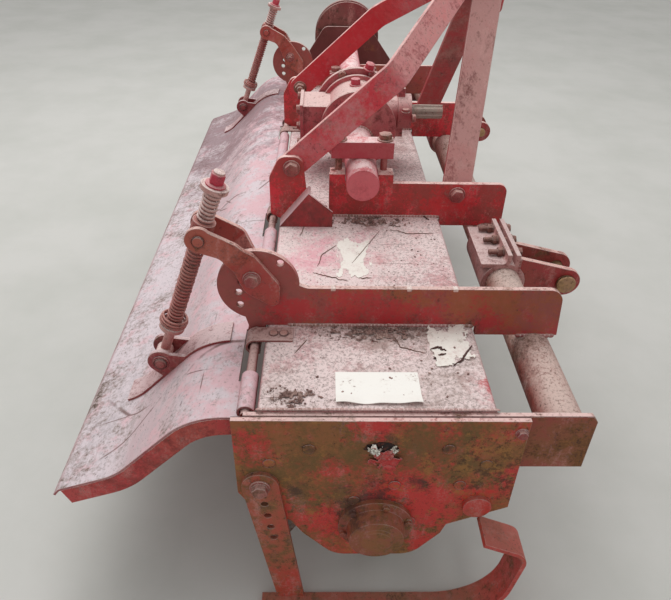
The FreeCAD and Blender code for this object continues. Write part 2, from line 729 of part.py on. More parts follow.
def stepped_sheet(hand):
    """Sheet that lies on the head and steps out to the swivel, wide enough for any arm."""
    reach = vec(value("swivel_x - head_x"), 0, value("swivel_z - head_z"))
    angle, radius = value("joggle_angle"), value("joggle_radius")
    turn = math.radians(angle)
    step = value("(arm_gap - arm_wall) / 2") - 2 * radius * (1 - math.cos(turn))
    before = value("head_radius + joggle_start")
    path = (
        ("run", before),
        ("bend", radius, hand * angle),
        ("run", step / math.sin(turn)),
        ("bend", radius, -hand * angle),
        ("run", reach.Length),
    )
    first = (value("joggle_start") - before, hand * value("(brace_wall + arm_wall) / 2"))
    wide = 2 * reach.Length
    sheet = strip_solid(bent_strip(first, 0, path, value("arm_wall")), -wide / 2, wide / 2)
    sheet.rotate(vec(0, 0, 0), vec(1, 0, 0), -90)
    sheet.rotate(vec(0, 0, 0), vec(0, 1, 0), math.degrees(math.atan2(-reach.z, reach.x)))
    sheet.translate(vec(value("head_x"), 0, value("head_z")))
    return sheet


for side, sign in SIDES:
    pair = []
    for hand in (-1, 1):
        name = "arm_%s_%s" % (side, "out" if hand == sign else "in")
        outline = plate(
            name + "_outline", "4 * arm_gap", ARM_OUTLINE, ARM_EYE, ARM_HOLE,
            y="%d * brace_y" % sign,
        )
        sheet = stepped_sheet(hand)
        sheet.translate(vec(0, sign * value("brace_y"), 0))
        pair.append(shared(name, [outline, raw(name + "_sheet", sheet)]))
    keep(group("arms_" + side, pair))

# Hinge rod of the rear shield, with straps that wrap it down to the deck.
rod_solid = tube_between(
    vec(value("hinge_x"), -value(INNER) / 2, value("hinge_z")),
    vec(value("hinge_x"), value(INNER) / 2, value("hinge_z")),
    value("hinge_rod") / 2,
)
keep(raw("hinge_rod", rod_solid))

strap_radius = value("deck_top + strap_wall / 2 - hinge_z")
strap_wire = bent_strip(
    (value("deck_rear + strap_tail"), value("deck_top + strap_wall / 2")), 180,
    (("run", value("deck_rear + strap_tail - hinge_x")), ("bend", strap_radius, 215)),
    value("strap_wall"),
)
STRAP_PLACES = ("-strap_y_out", "-strap_y", "strap_y", "strap_y_out")
straps = []
for place_y in STRAP_PLACES:
    middle, half = value(place_y), value("strap_width") / 2
    straps.append(strip_solid(strap_wire, middle - half, middle + half))
keep(raw("hinge_straps", Part.makeCompound(straps)))

# Mast foot plates on the deck, with a saddle for the cross tube at the rear end.
FOOT_OUTLINE = (
    ("mast_saddle", "deck_top"),
    ("mast_saddle", "cross_z + saddle_height"),
    ("cross_x - cross_od / 2 - saddle_play", "cross_z + saddle_height"),
    ("cross_x - cross_od / 2 - saddle_play", "cross_z - cross_od / 2 - 0.5", "30"),
    ("cross_x + cross_od / 2 + saddle_play", "cross_z - cross_od / 2 - 0.5", "30"),
    ("cross_x + cross_od / 2 + saddle_play", "cross_z + saddle_height"),
    ("-mast_saddle - 16", "cross_z + saddle_height"),
    ("-mast_saddle - 16", "mast_top"),
    ("mast_front", "mast_top", "20"),
    ("mast_front", "mast_low", "14"),
    ("mast_deep", "mast_low"),
    ("mast_deep", "deck_top"),
)
BLOCK_Y = "mast_y + mast_wall / 2 - clamp_depth / 2"
CLAMP_Y = "mast_y - mast_wall / 2 - clamp_depth / 2"
BLOCK_SIZE = ("saddle_block", "clamp_depth", "saddle_block_low")
BLOCK_Z = "cross_z + saddle_block_top - saddle_block_low"
for side, sign in SIDES:
    foot_plate = plate(
        "foot_plate_" + side, "mast_wall", FOOT_OUTLINE,
        holes=(("tube_x", "tube_z", "tube_od / 2"),),
        y="%d * mast_y" % sign,
    )
    block_y = "%d * (%s) - clamp_depth / 2" % (sign, BLOCK_Y)
    rear_block = block("saddle_rear_" + side, BLOCK_SIZE, (
        "cross_x - cross_od / 2 - saddle_play - saddle_block", block_y, BLOCK_Z,
    ))
    front_block = block("saddle_front_" + side, BLOCK_SIZE, (
        "cross_x + cross_od / 2 + saddle_play", block_y, BLOCK_Z,
    ))
    keep(joined("mast_foot_" + side, [foot_plate, rear_block, front_block]))

# Clamp caps that hold the cross tube down in its saddles.
CAP_OUTLINE = (
    ("cross_x - clamp_length / 2", "cross_z + cross_od / 2"),
    ("cross_x - clamp_length / 2", "cross_z + cross_od / 2 + clamp_height"),
    ("cross_x + clamp_length / 2", "cross_z + cross_od / 2 + clamp_height"),
    ("cross_x + clamp_length / 2", "cross_z + cross_od / 2"),
)
for side, sign in SIDES:
    keep(plate("tube_clamp_" + side, "clamp_depth", CAP_OUTLINE, y="%d * (%s)" % (sign, CLAMP_Y)))

# Rear brackets that the mast's stays are bolted to.
BRACKET_OUTLINE = (
    ("deck_rear - 2", "deck_top"),
    ("bracket_rear", "deck_top + 12"),
    ("bracket_rear", "stay_z - 22", "16"),
    ("stay_x - 26", "stay_z + 26", "22"),
    ("stay_x + 24", "stay_z + 26", "22"),
    ("stay_x + 34", "deck_top + 50", "20"),
    ("stay_x + 12", "deck_top"),
)
GUSSET_OUTLINE = (
    ("gusset_rear", "deck_top"),
    ("gusset_peak_x", "gusset_peak_z"),
    ("gusset_front", "gusset_front_z"),
    ("gusset_front", "deck_top"),
)
for side, sign in SIDES:
    bracket = plate(
        "bracket_plate_" + side, "mast_wall", BRACKET_OUTLINE,
        y="%d * (mast_y + mast_wall)" % sign,
    )
    gusset_face = plate(
        "gusset_face_" + side, "gusset_wall", GUSSET_OUTLINE,
        y="%d * (mast_y + mast_wall * 1.5 + gusset_depth - gusset_wall / 2)" % sign,
    )
    # the sheet folds over the rear slope, back to the bracket
    rear = vec(value("gusset_rear"), 0, value("deck_top"))
    peak = vec(value("gusset_peak_x"), 0, value("gusset_peak_z"))
    slope_way = (peak - rear).normalize()
    inward = vec(slope_way.z, 0, -slope_way.x) * value("gusset_wall")
    level = vec(1, 0, 0) * (value("gusset_wall") / slope_way.z)
    fold = Part.Face(Part.makePolygon([rear, peak, peak + inward, rear + level, rear]))
    fold = fold.extrude(vec(0, sign * value("gusset_depth"), 0))
    fold.translate(vec(0, sign * value("mast_y + mast_wall * 1.5"), 0))
    gusset_fold = raw("gusset_fold_" + side, fold)
    keep(joined("stay_bracket_" + side, [bracket, gusset_face, gusset_fold]))


# Top link head: two cheeks that the mast's bars are welded to.
CHEEK_OUTLINE = (
    ("stay_top_x - 40", "stay_top_z - 34", "20"),
    ("stay_top_x - 20", "stay_top_z + 40", "20"),
    ("apex_x - 10", "apex_z + apex_nose - 2"),
    ("apex_x + 10", "apex_z + apex_nose - 2"),
    ("apex_x + apex_nose", "apex_z"),
    ("upright_top_x + 38", "upright_top_z - 44", "10"),
)
cheeks = []
for side, sign in SIDES:
    cheeks.append(plate(
        "cheek_" + side, "mast_wall", CHEEK_OUTLINE,
        rounds=(("apex_x", "apex_z", "apex_nose"),),
        holes=(("apex_x", "apex_z", "apex_bore / 2"),),
        y="%d * (head_gap + mast_wall) / 2" % sign,
    ))
keep(group("top_link_head", cheeks))


# Mast bars lean in from the foot plates to the cheeks of the top link head.
def mast_bar(label, sign, foot_x, foot_y, foot_z, top_x, top_z, width):
    """Flat bar with round ends, its top cut flush with the cheek's outer face."""
    foot_side = value(foot_y)
    rise = value("%s - (%s)" % (top_z, foot_z))
    lean = foot_side - value("head_gap / 2 + mast_wall * 1.5")
    run = math.hypot(rise, lean)
    ahead = value("%s - (%s)" % (top_x, foot_x))
    slope = math.atan2(ahead, run)
    half = value(width) / 2
    across = vec(math.cos(slope), 0, -math.sin(slope)) * half
    along = vec(math.sin(slope), 0, math.cos(slope))
    foot = vec(0, 0, 0)
    top = vec(ahead, 0, run)
    corners = (foot - across, top - across, top + across, foot + across)
    edges = [
        Part.LineSegment(corners[0], corners[1]).toShape(),
        Part.Arc(corners[1], top + along * half, corners[2]).toShape(),
        Part.LineSegment(corners[2], corners[3]).toShape(),
        Part.Arc(corners[3], foot - along * half, corners[0]).toShape(),
    ]
    wall = value("mast_wall")
    solid = Part.Face(Part.Wire(edges)).extrude(vec(0, wall, 0))
    solid.translate(vec(0, -wall / 2, 0))
    solid.rotate(foot, vec(1, 0, 0), sign * math.degrees(math.atan2(lean, rise)))
    solid.translate(vec(value(foot_x), sign * foot_side, value(foot_z)))
    inside = value("head_gap / 2 + mast_wall")
    beside = value(foot_y) + wall / 2
    wide = 2 * (value(foot_y) + run)
    trim = Part.makeBox(wide, 2 * inside, wide, vec(-wide / 2, -inside, -wide / 2))
    foot_low = beside if sign > 0 else -beside - wide
    foot_trim = Part.makeBox(wide, wide, wide, vec(-wide / 2, foot_low, -wide / 2))
    trim.translate(vec(0, 0, value(foot_z)))
    foot_trim.translate(vec(0, 0, value(foot_z)))
    return keep(raw(label, solid.cut(trim).cut(foot_trim)))


# A rear stay runs straight up beside its bracket, then bends in and lies flat on its cheek.
def rear_stay(side, sign):
    run = vec(value("stay_top_x - stay_x"), 0, value("stay_top_z - stay_z"))
    rise = math.degrees(math.atan2(run.z, run.x))
    radius, lean = value("stay_bend"), value("stay_lean")
    turn = math.radians(lean)
    inward = value("mast_y - head_gap / 2 - mast_wall * 1.5")
    slant = (inward - 2 * radius * (1 - math.cos(turn))) / math.sin(turn)
    margin = value("stay_width")
    path = (
        ("run", margin + value("stay_straight")),
        ("bend", radius, lean),
        ("run", slant),
        ("bend", radius, -lean),
        ("run", margin + run.Length),
    )
    sheet = strip_solid(bent_strip((-margin, -value("mast_y")), 0, path, value("mast_wall")), -margin, margin)
    sheet.rotate(vec(0, 0, 0), vec(1, 0, 0), -90)
    if sign > 0:
        sheet = sheet.mirror(vec(0, 0, 0), vec(0, 1, 0))
    sheet.rotate(vec(0, 0, 0), vec(0, 1, 0), -rise)
    sheet.translate(vec(value("stay_x"), 0, value("stay_z")))
    half = value("stay_width") / 2
    way = run * (1 / run.Length)
    across = vec(-way.z, 0, way.x) * half
    edges = [
        Part.LineSegment(across, run + across).toShape(),
        Part.Arc(run + across, run + way * half, run - across).toShape(),
        Part.LineSegment(run - across, across * -1).toShape(),
        Part.Arc(across * -1, way * -half, across).toShape(),
    ]
    wide = 2 * value("mast_y")
    outline = Part.Face(Part.Wire(edges)).extrude(vec(0, 2 * wide, 0))
    outline.translate(vec(value("stay_x"), -wide, value("stay_z")))
    return keep(raw("rear_stay_" + side, sheet.common(outline).removeSplitter()))


for side, sign in SIDES:
    mast_bar("upright_" + side, sign, "upright_x", "mast_y - mast_wall", "upright_z",
             "upright_top_x", "upright_top_z", "upright_width")
    rear_stay(side, sign)

# Gearbox: a round gear drum across the machine, its far flange the larger one.
drum = turned("drum", (
    ("0", "-drum_half"),
    ("drum_near", "-drum_half"),
    ("drum_near", "-drum_half + drum_flange"),
    ("drum_waist", "-drum_half + drum_flange"),
    ("drum_waist", "drum_half - drum_flange - drum_groove - drum_ring_width"),
    ("drum_ring", "drum_half - drum_flange - drum_groove - drum_ring_width"),
    ("drum_ring", "drum_half - drum_flange - drum_groove"),
    ("drum_waist", "drum_half - drum_flange - drum_groove"),
    ("drum_waist", "drum_half - drum_flange"),
    ("drum_radius", "drum_half - drum_flange"),
    ("drum_radius", "drum_half"),
    ("0", "drum_half"),
))
place(drum, x="cross_x", z="drum_z")
rear_box = block(
    "rear_box", ("box_front - box_rear", "2 * box_half", "box_top - box_low"),
    ("box_rear", "-box_half", "box_low"),
)
rear_lid = block(
    "rear_lid", ("box_lid", "2 * box_half + box_lid", "box_top - box_low + box_lid"),
    ("box_rear", "-box_half - box_lid / 2", "box_low - box_lid / 2"),
)
input_axis = vec(value("cross_x"), 0, value("input_z"))
cap_rear = vec(value("input_front - cap_length"), 0, value("input_z"))
cap_front = vec(value("input_front"), 0, value("input_z"))
neck = raw("input_neck", tube_between(input_axis, cap_rear, value("input_od / 2 - neck_step")))
keep(joined("gearbox", [drum, rear_box, rear_lid, neck]))

# Cap over the input bearing, round with an ear above and below.
ear_wide, ear_reach = value("cap_ear"), value("cap_ear_reach")
cap = tube_between(cap_rear, cap_front, value("input_od / 2"))
cap = cap.fuse(Part.makeBox(
    value("cap_length / 2"), ear_wide, 2 * ear_reach, cap_rear - vec(0, ear_wide / 2, ear_reach),
))
cap = cap.cut(tube_between(cap_rear, cap_front, value("spline_od / 2 + fit")))
keep(raw("input_cap", cap))

# Input shaft: a plain neck in the cap, then straight splines round a slimmer root.
shaft_rear = cap_rear + vec(value("fit"), 0, 0)
spline_rear = cap_front + vec(value("spline_run"), 0, 0)
shaft_end = vec(value("spline_front"), 0, value("input_z"))
splined = tube_between(spline_rear, shaft_end, value("spline_root / 2"))
spline_size = (value("spline_front") - spline_rear.x, value("spline_wide"), value("spline_od / 2"))
for i in range(int(value("spline_count"))):
    tooth = Part.makeBox(*spline_size, spline_rear - vec(0, value("spline_wide / 2"), 0))
    tooth.rotate(spline_rear, vec(1, 0, 0), 360 / value("spline_count") * i)
    splined = splined.fuse(tooth)
splined = splined.common(tube_between(spline_rear, shaft_end, value("spline_od / 2")))
plain = tube_between(shaft_rear, spline_rear, value("spline_od / 2"))
keep(raw("input_shaft", plain.fuse(splined).removeSplitter()))

# Cross tubes: a plain stub to the near saddle, the drive tube to the far case.
for side, low, high in (
    ("near", "-cross_near", "-drum_half"),
    ("far", "drum_half", "inner_half"),
):
    start = vec(value("cross_x"), value(low), value("cross_z"))
    end = vec(value("cross_x"), value(high), value("cross_z"))
    keep(raw("cross_tube_" + side, tube_between(start, end, value("cross_od") / 2)))

# Side drive case on the far end plate, from the cross shaft down to the rotor.
def case_solid(extra, low, high):
    """Slab round both shaft ends, its sides tangent to the two circles."""
    top = vec(value("cross_x"), 0, value("cross_z + case_rise"))
    big = value("case_radius") + extra
    small = value("case_top_radius") + extra
    lean = math.atan2(top.x, top.z)
    open_angle = math.acos((big - small) / top.Length)
    edges = []
    ends = []
    for hand in (1, -1):
        angle = lean + hand * open_angle
        way = vec(math.sin(angle), 0, math.cos(angle))
        ends.append((way * big, top + way * small))
    up = top * (1 / top.Length)
    edges.append(Part.LineSegment(ends[0][0], ends[0][1]).toShape())
    edges.append(Part.Arc(ends[0][1], top + up * small, ends[1][1]).toShape())
    edges.append(Part.LineSegment(ends[1][1], ends[1][0]).toShape())
    edges.append(Part.Arc(ends[1][0], up * -big, ends[0][0]).toShape())
    face = Part.Face(Part.Wire(edges))
    face.translate(vec(0, low, 0))
    return face.extrude(vec(0, high - low, 0))


case_low = value("work_width / 2")
case_high = case_low + value("case_depth")
rim, rim_wall = value("case_rim"), value("case_rim_wall")
case = case_solid(0, case_low, case_high).fuse(case_solid(rim, case_low, case_low + rim_wall))
case = case.fuse(case_solid(rim, case_high - rim_wall, case_high))
# the rotor's stub ends inside the case
stub_end = case_high - value("cover_wall / 2")
case = case.cut(tube_between(
    vec(0, case_low, 0), vec(0, stub_end + value("fit"), 0), value("stub_od / 2 + fit"),
))
keep(raw("side_drive_case", case))
cover_high = case_high + value("cover_wall")
cover = case_solid(rim, case_high, cover_high)
for spot, radius in (
    (vec(0, case_high, 0), "low_boss"),
    (vec(value("cross_x"), case_high, value("cross_z")), "high_boss"),
):
    out = vec(spot.x, cover_high + value("cover_boss"), spot.z)
    cover = cover.fuse(tube_between(spot, out, value(radius)))
keep(raw("side_drive_cover", cover))

# Near bearing hub on its end plate.
hub = turned("bearing_hub", (
    ("stub_od / 2 + fit", "work_width / 2"),
    ("hub_radius", "work_width / 2"),
    ("hub_radius", "work_width / 2 + hub_plate"),
    ("hub_boss", "work_width / 2 + hub_plate * 1.3"),
    ("hub_boss - hub_lip", "reach - hub_lip"),
    ("hub_nose", "reach - hub_lip"),
    ("hub_nose - hub_lip", "reach"),
    ("0", "reach"),
    ("0", "reach - hub_cap"),
    ("stub_od / 2 + fit", "reach - hub_cap"),
))
place(hub, axis=vec(0, 0, 1), angle="180")
keep(hub)

# Lower hitches: a shell clamped round the front tube, and two lugs on it.
YOKE_GRIP = ("tube_x", "tube_z", "tube_od / 2")
YOKE_OUTSIDE = ("tube_x", "tube_z", "tube_od / 2 + yoke_wall")
FLANGE_STEP = "yoke_flange + yoke_flange_gap"
LUG_BACK = "tube_x + 1 + yoke_flange + " + FLANGE_STEP
LUG_OUTLINE = (
    (LUG_BACK, "tube_z + lug_heel"),
    ("hitch_x + lug_nose * 0.36", "hitch_z + lug_nose * 0.93"),
    ("hitch_x", "hitch_z - lug_nose"),
    ("tube_x + 50", "hitch_z - lug_nose + 4"),
    (LUG_BACK, "hitch_z - lug_nose"),
)
for side, sign in SIDES:
    lugs = []
    for hand in (-1, 1):
        lugs.append(plate(
            "lug_%s_%s" % (side, "out" if hand == sign else "in"), "lug_wall", LUG_OUTLINE,
            rounds=(("hitch_x", "hitch_z", "lug_nose"),),
            holes=(("hitch_x", "hitch_z", "hitch_bore / 2"), YOKE_OUTSIDE),
            y="%d * hitch_y + %d * (hitch_gap + lug_wall) / 2" % (sign, hand),
        ))
    keep(group("hitch_lugs_" + side, lugs))
    # the shell's two flanges stand side by side over the tube
    front_flange = block(
        "yoke_flange_" + side, ("yoke_flange", "2 * yoke_half", "yoke_flange_top - tube_od / 2"),
        ("tube_x + 1 + " + FLANGE_STEP, "%d * yoke_y - yoke_half" % sign, "tube_z + tube_od / 2"),
    )
    shell = plate("yoke_shell_" + side, "2 * yoke_half", holes=(YOKE_OUTSIDE, YOKE_GRIP), y="%d * yoke_y" % sign)
    # the flat plate on top is folded up into the rear flange
    middle = value("tube_z + tube_od / 2 + yoke_wall - yoke_flange / 2")
    fold = value("yoke_bend")
    flat_run = value("yoke_rear + 1 + yoke_flange / 2") - fold
    up_run = value("tube_z + yoke_flange_top") - middle - fold
    folded = strip_solid(
        bent_strip(
            (value("tube_x - yoke_rear"), middle), 0,
            (("run", flat_run), ("bend", fold, 90), ("run", up_run)), value("yoke_flange"),
        ),
        sign * value("yoke_y") - value("yoke_half"), sign * value("yoke_y") + value("yoke_half"),
    )
    folded = raw("yoke_folded_" + side, folded)
    keep(joined("hitch_yoke_" + side, [shell, front_flange, folded]))

# Rotor: shaft tube with plugs and stubs, and flanges that carry six tines each.
shaft = tube_between(
    vec(0, -value("shaft_half"), 0), vec(0, value("shaft_half"), 0), value("shaft_od") / 2,
)
stub_near = tube_between(vec(0, value("fit + hub_cap - reach"), 0), vec(0, 0, 0), value("stub_od") / 2)
stub_far = tube_between(vec(0, 0, 0), vec(0, stub_end, 0), value("stub_od") / 2)
keep(raw("rotor_shaft", shaft.fuse(stub_near).fuse(stub_far).removeSplitter()))


def tine(hand):
    """One curved tine in the plane of its flange, its blade bent sideways at the tip."""
    wall = value("tine_wall")
    tip = value("tine_tip")
    width = value("tine_width")
    bend = value("tine_bend")
    root = value("tine_root")
    # blade path seen along the machine: out from the flange, then sideways
    path = bent_strip((0, root), 90, (
        ("run", tip - root - bend + wall / 2),
        ("bend", bend - wall / 2, -90),
        ("run", value("tine_foot") - bend),
    ), wall)
    side_view = Part.Face(path)
    side_view.rotate(vec(0, 0, 0), vec(0, 0, 1), 90 * hand)
    side_view.translate(vec(-tip, 0, 0))
    blade = side_view.extrude(vec(2 * tip, 0, 0))
    # outline along the axis: swept back in a curve, cut to the tip circle
    edge, trail = value("tine_edge"), value("tine_sweep") + width * 0.15
    half_tip, beyond = value("tine_tip_width") / 2, tip + wall
    slim = width * 0.42
    lead = Part.Arc(vec(-width / 2, 0, root), vec(-slim, 0, edge), vec(-trail - half_tip, 0, beyond))
    back = Part.Arc(vec(width / 2, 0, root), vec(slim, 0, edge), vec(-trail + half_tip, 0, beyond))
    outline = Part.Wire([
        lead.toShape(),
        Part.LineSegment(vec(-trail - half_tip, 0, beyond), vec(-trail + half_tip, 0, beyond)).toShape(),
        back.toShape(),
        Part.LineSegment(vec(width / 2, 0, root), vec(-width / 2, 0, root)).toShape(),
    ])
    slab = Part.Face(outline).extrude(vec(0, 2 * tip, 0))
    slab.translate(vec(0, -tip, 0))
    reach = Part.makeCylinder(tip, 2 * tip, vec(0, -tip, 0), vec(0, 1, 0))
    return blade.common(slab).common(reach)


def tine_flange(hands):
    """Flange disc with its tines bolted to one face and turned to the given sides."""
    wall = value("flange_wall")
    disc = Part.makeCylinder(value("flange_radius"), wall, vec(0, -wall / 2, 0), vec(0, 1, 0))
    bore = Part.makeCylinder(value("shaft_od") / 2, wall, vec(0, -wall / 2, 0), vec(0, 1, 0))
    pieces = []
    count = int(value("tine_count"))
    for i in range(count):
        hand = hands[i % 2]
        one = tine(hand)
        one.translate(vec(0, hand * (wall + value("tine_wall")) / 2, 0))
        one.rotate(vec(0, 0, 0), vec(0, 1, 0), 360 / count * i)
        pieces.append(one)
    return disc.fuse(pieces).cut(bore)


flanges = []
flange_total = int(value("flange_count"))
for i in range(flange_total):
    share = 2 * i / (flange_total - 1) - 1
    hands = (1, 1) if i == 0 else (-1, -1) if i == flange_total - 1 else (1, -1)
    one = tine_flange(hands)
    one.rotate(vec(0, 0, 0), vec(0, 1, 0), value("tine_lag") * i)
    one.translate(vec(0, share * value("flange_reach"), 0))
    flanges.append(one)
keep(raw("tine_flanges", Part.makeCompound(flanges)))

# Rear shield: one bent sheet, rolled round the hinge rod at its front edge.
shield_half = value("shield_half")
shield = strip_solid(shield_wire, -shield_half, shield_half)
slot_size = value("roll_radius + 6")
SLOTS = (
    ("-brace_y", "brace_wall + 2 * slot_gap"), ("brace_y", "brace_wall + 2 * slot_gap"),
    ("-slot_y", "slot_width"), ("slot_y", "slot_width"),
    ("-slot_y_out", "slot_width + 2 * slot_gap"), ("slot_y_out", "slot_width + 2 * slot_gap"),
)
for slot_y, slot_width in SLOTS:
    width = value(slot_width)
    low = vec(value("hinge_x") - slot_size, value(slot_y) - width / 2, value("hinge_z") - slot_size)
    shield = shield.cut(Part.makeBox(2 * slot_size, width, 2 * slot_size, low))
keep(raw("rear_shield", shield.removeSplitter()))

# End rims of the shield: narrow plates on edge under the sheet, along its profile.
rim_offset = value("(shield_wall + rim_depth) / 2")
rim_path = (("run", value("shield_flat - rim_start")), *shield_path(-rim_offset))
rim_first = (value("hinge_x - rim_start"), value("hinge_z") - roll_middle - rim_offset)
rim_wire = bent_strip(rim_first, 180, rim_path, value("rim_depth"))
rims = []
for side, sign in SIDES:
    inner = shield_half - value("rim_wall")
    rims.append(strip_solid(rim_wire, *sorted((sign * inner, sign * shield_half))))
keep(raw("shield_rims", Part.makeCompound(rims)))

# Spring rod feet: a curved strap on the shield, two ears on it and the pin between them.
slope = math.radians(value("slope"))
up_slope = vec(math.cos(slope), 0, math.sin(slope))
down = vec(math.sin(slope), 0, -math.cos(slope))
strap_offset = value("(shield_wall + foot_strap_wall) / 2")
strap_first = (value("hinge_x - shield_flat"), value("hinge_z") - roll_middle + strap_offset)
foot_strap_wire = bent_strip(
    strap_first, 180, shield_path(strap_offset)[:3], value("foot_strap_wall"),
)
ear_out = value("foot_ear_gap / 2 + foot_ear_wall")
radius, deep = value("foot_ear_radius"), value("foot_ear_deep")
for side, sign in SIDES:
    middle = sign * value("brace_y")
    pin_spot = vec(value("rod_foot_x"), middle, value("rod_foot_z"))
    base = pin_spot + down * deep
    corners = (
        pin_spot + up_slope * radius,
        base + up_slope * value("foot_ear_tail"),
        base - up_slope * radius,
        pin_spot - up_slope * radius,
    )
    outline = Part.Wire([
        Part.LineSegment(corners[0], corners[1]).toShape(),
        Part.LineSegment(corners[1], corners[2]).toShape(),
        Part.LineSegment(corners[2], corners[3]).toShape(),
        Part.Arc(corners[3], pin_spot - down * radius, corners[0]).toShape(),
    ])
    under = strip_solid(shield_wire, middle - 2 * ear_out, middle + 2 * ear_out)
    pieces = [strip_solid(foot_strap_wire, middle - ear_out, middle + ear_out)]
    for hand in (-1, 1):
        ear = Part.Face(outline).extrude(vec(0, hand * value("foot_ear_wall"), 0))
        ear.translate(vec(0, hand * value("foot_ear_gap") / 2, 0))
        above = ear.cut(under)
        pieces.append(max(above.Solids, key=lambda s: s.BoundBox.ZMax))
    half_gap = vec(0, value("foot_ear_gap") / 2, 0)
    pieces.append(tube_between(pin_spot - half_gap, pin_spot + half_gap, value("foot_pin") / 2))
    foot = pieces[0].fuse(pieces[1:]).removeSplitter()
    # the strap stops short of the hinge, so that it stays clear of the brace's head
    front = Part.makeBox(
        value("foot_strap_start"), 4 * ear_out, value("head_radius"),
        vec(value("hinge_x - foot_strap_start"), middle - 2 * ear_out, value("hinge_z - roll_radius")),
    )
    keep(raw("rod_foot_" + side, foot.cut(front)))

# Spring rods, washers, springs and swivel blocks, all along one slanting line.
rod_foot = vec(value("rod_foot_x"), 0, value("rod_foot_z"))
swivel = vec(value("swivel_x"), 0, value("swivel_z"))
rod_way = (swivel - rod_foot).normalize()
swivel_at = (swivel - rod_foot).Length
half_block = value("block_half")
half_eye = vec(0, value("eye_length") / 2, 0)
for side, sign in SIDES:
    shift = vec(0, sign * value("brace_y"), 0)
    base = rod_foot + shift
    eye = tube_between(base - half_eye, base + half_eye, value("eye_radius"))
    rod = tube_between(base, base + rod_way * value("rod_top"), value("rod_od") / 2)
    low = tube_between(
        base + rod_way * value("rod_washer_low - washer_wall"),
        base + rod_way * value("rod_washer_low"), value("washer_od") / 2,
    )
    top = tube_between(
        base + rod_way * value("rod_washer_top"),
        base + rod_way * value("rod_washer_top + washer_wall"), value("washer_od") / 2,
    )
    solid = rod.fuse([eye, low, top])
    solid = solid.cut(tube_between(base - half_eye, base + half_eye, value("foot_pin / 2 + fit")))
    keep(raw("spring_rod_" + side, solid.removeSplitter()))
    spring_bore = value("spring_od / 2 - spring_wire")
    keep(raw("low_spring_" + side, tube_between(
        base + rod_way * value("rod_washer_low"),
        base + rod_way * (swivel_at - half_block), value("spring_od") / 2, spring_bore,
    )))
    keep(raw("top_spring_" + side, tube_between(
        base + rod_way * (swivel_at + half_block),
        base + rod_way * value("rod_washer_top"), value("spring_od") / 2, spring_bore,
    )))
    centre = swivel + shift
    body = tube_between(
        centre - rod_way * half_block, centre + rod_way * half_block, value("block_radius"),
    )
    pins = Part.makeCylinder(
        value("swivel_pin") / 2, value("arm_gap + arm_wall"),
        centre - vec(0, value("arm_gap + arm_wall") / 2, 0), vec(0, 1, 0),
    )
    body = body.fuse(pins)
    way_out = tube_between(
        centre - rod_way * (half_block + 1), centre + rod_way * (half_block + 1),
        value("rod_od / 2 + slide_fit"),
    )
    keep(raw("swivel_" + side, body.cut(way_out)))

# Skids: one flat bar each, bent up at the toe and back to a bolt on the end plate.
sole_z = -value("axle_height") + value("skid_wall") / 2
skid_steps = (
    ("run", value("skid_toe - skid_rear")),
    ("bend", value("skid_rise_radius"), value("skid_rise")),
    ("run", value("skid_front_run")),
    ("bend", value("skid_top_radius"), value("skid_top_turn - skid_rise")),
    ("run", value("skid_return")),
)
skid_wire = bent_strip((value("skid_rear"), sole_z), 0, skid_steps, value("skid_wall"))
for side, sign in SIDES:
    inner_y = value("work_width") / 2
    low_y = inner_y if sign > 0 else -inner_y - value("skid_width")
    bar = strip_solid(skid_wire, low_y, low_y + value("skid_width"))
    eye_y = inner_y if sign > 0 else -inner_y - value("strut_wall")
    eye = Part.makeCylinder(
        value("skid_eye"), value("strut_wall"),
        vec(value("skid_eye_x"), eye_y, value("skid_eye_z")), vec(0, 1, 0),
    )
    keep(raw("skid_" + side, bar.fuse(eye)))

# Rear struts of the skids, with the row of holes that sets the depth.
STRUT_OUTLINE = (
    ("strut_foot_x - strut_width / 2", "skid_wall - axle_height"),
    ("strut_top_x - strut_head", "strut_top_z - strut_head * strut_lean"),
    ("strut_top_x + strut_head", "strut_top_z + strut_head * strut_lean"),
    ("strut_foot_x + strut_width / 2", "skid_wall - axle_height"),
)
strut_holes = []
for i in range(int(value("strut_hole_count"))):
    down_by = "(strut_width / 4 + %d * strut_pitch)" % i
    strut_holes.append(("strut_top_x + %s * strut_lean" % down_by, "strut_top_z - %s" % down_by, "strut_hole / 2"))
for side, sign in SIDES:
    keep(plate(
        "skid_strut_" + side, "strut_wall", STRUT_OUTLINE,
        rounds=(("strut_top_x", "strut_top_z", "strut_head"),), holes=strut_holes,
        y="%d * (work_width + strut_wall) / 2" % sign,
    ))

os.makedirs("parts", exist_ok=True)
doc.recompute()

for item in doc.Objects:
    if "Invalid" in item.State or "Error" in item.State:
        raise RuntimeError("failed object: %s %s" % (item.Label, item.State))
for label, part in nodes.items():
    if part.Shape.isNull() or not part.Shape.isValid():
        raise RuntimeError("bad shape: %s" % label)
for label, part in nodes.items():
    part.Shape.exportStep("parts/%s.step" % label)
print(len(nodes), "nodes")
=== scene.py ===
import bpy
import math
import random
from mathutils import Matrix, Vector, noise


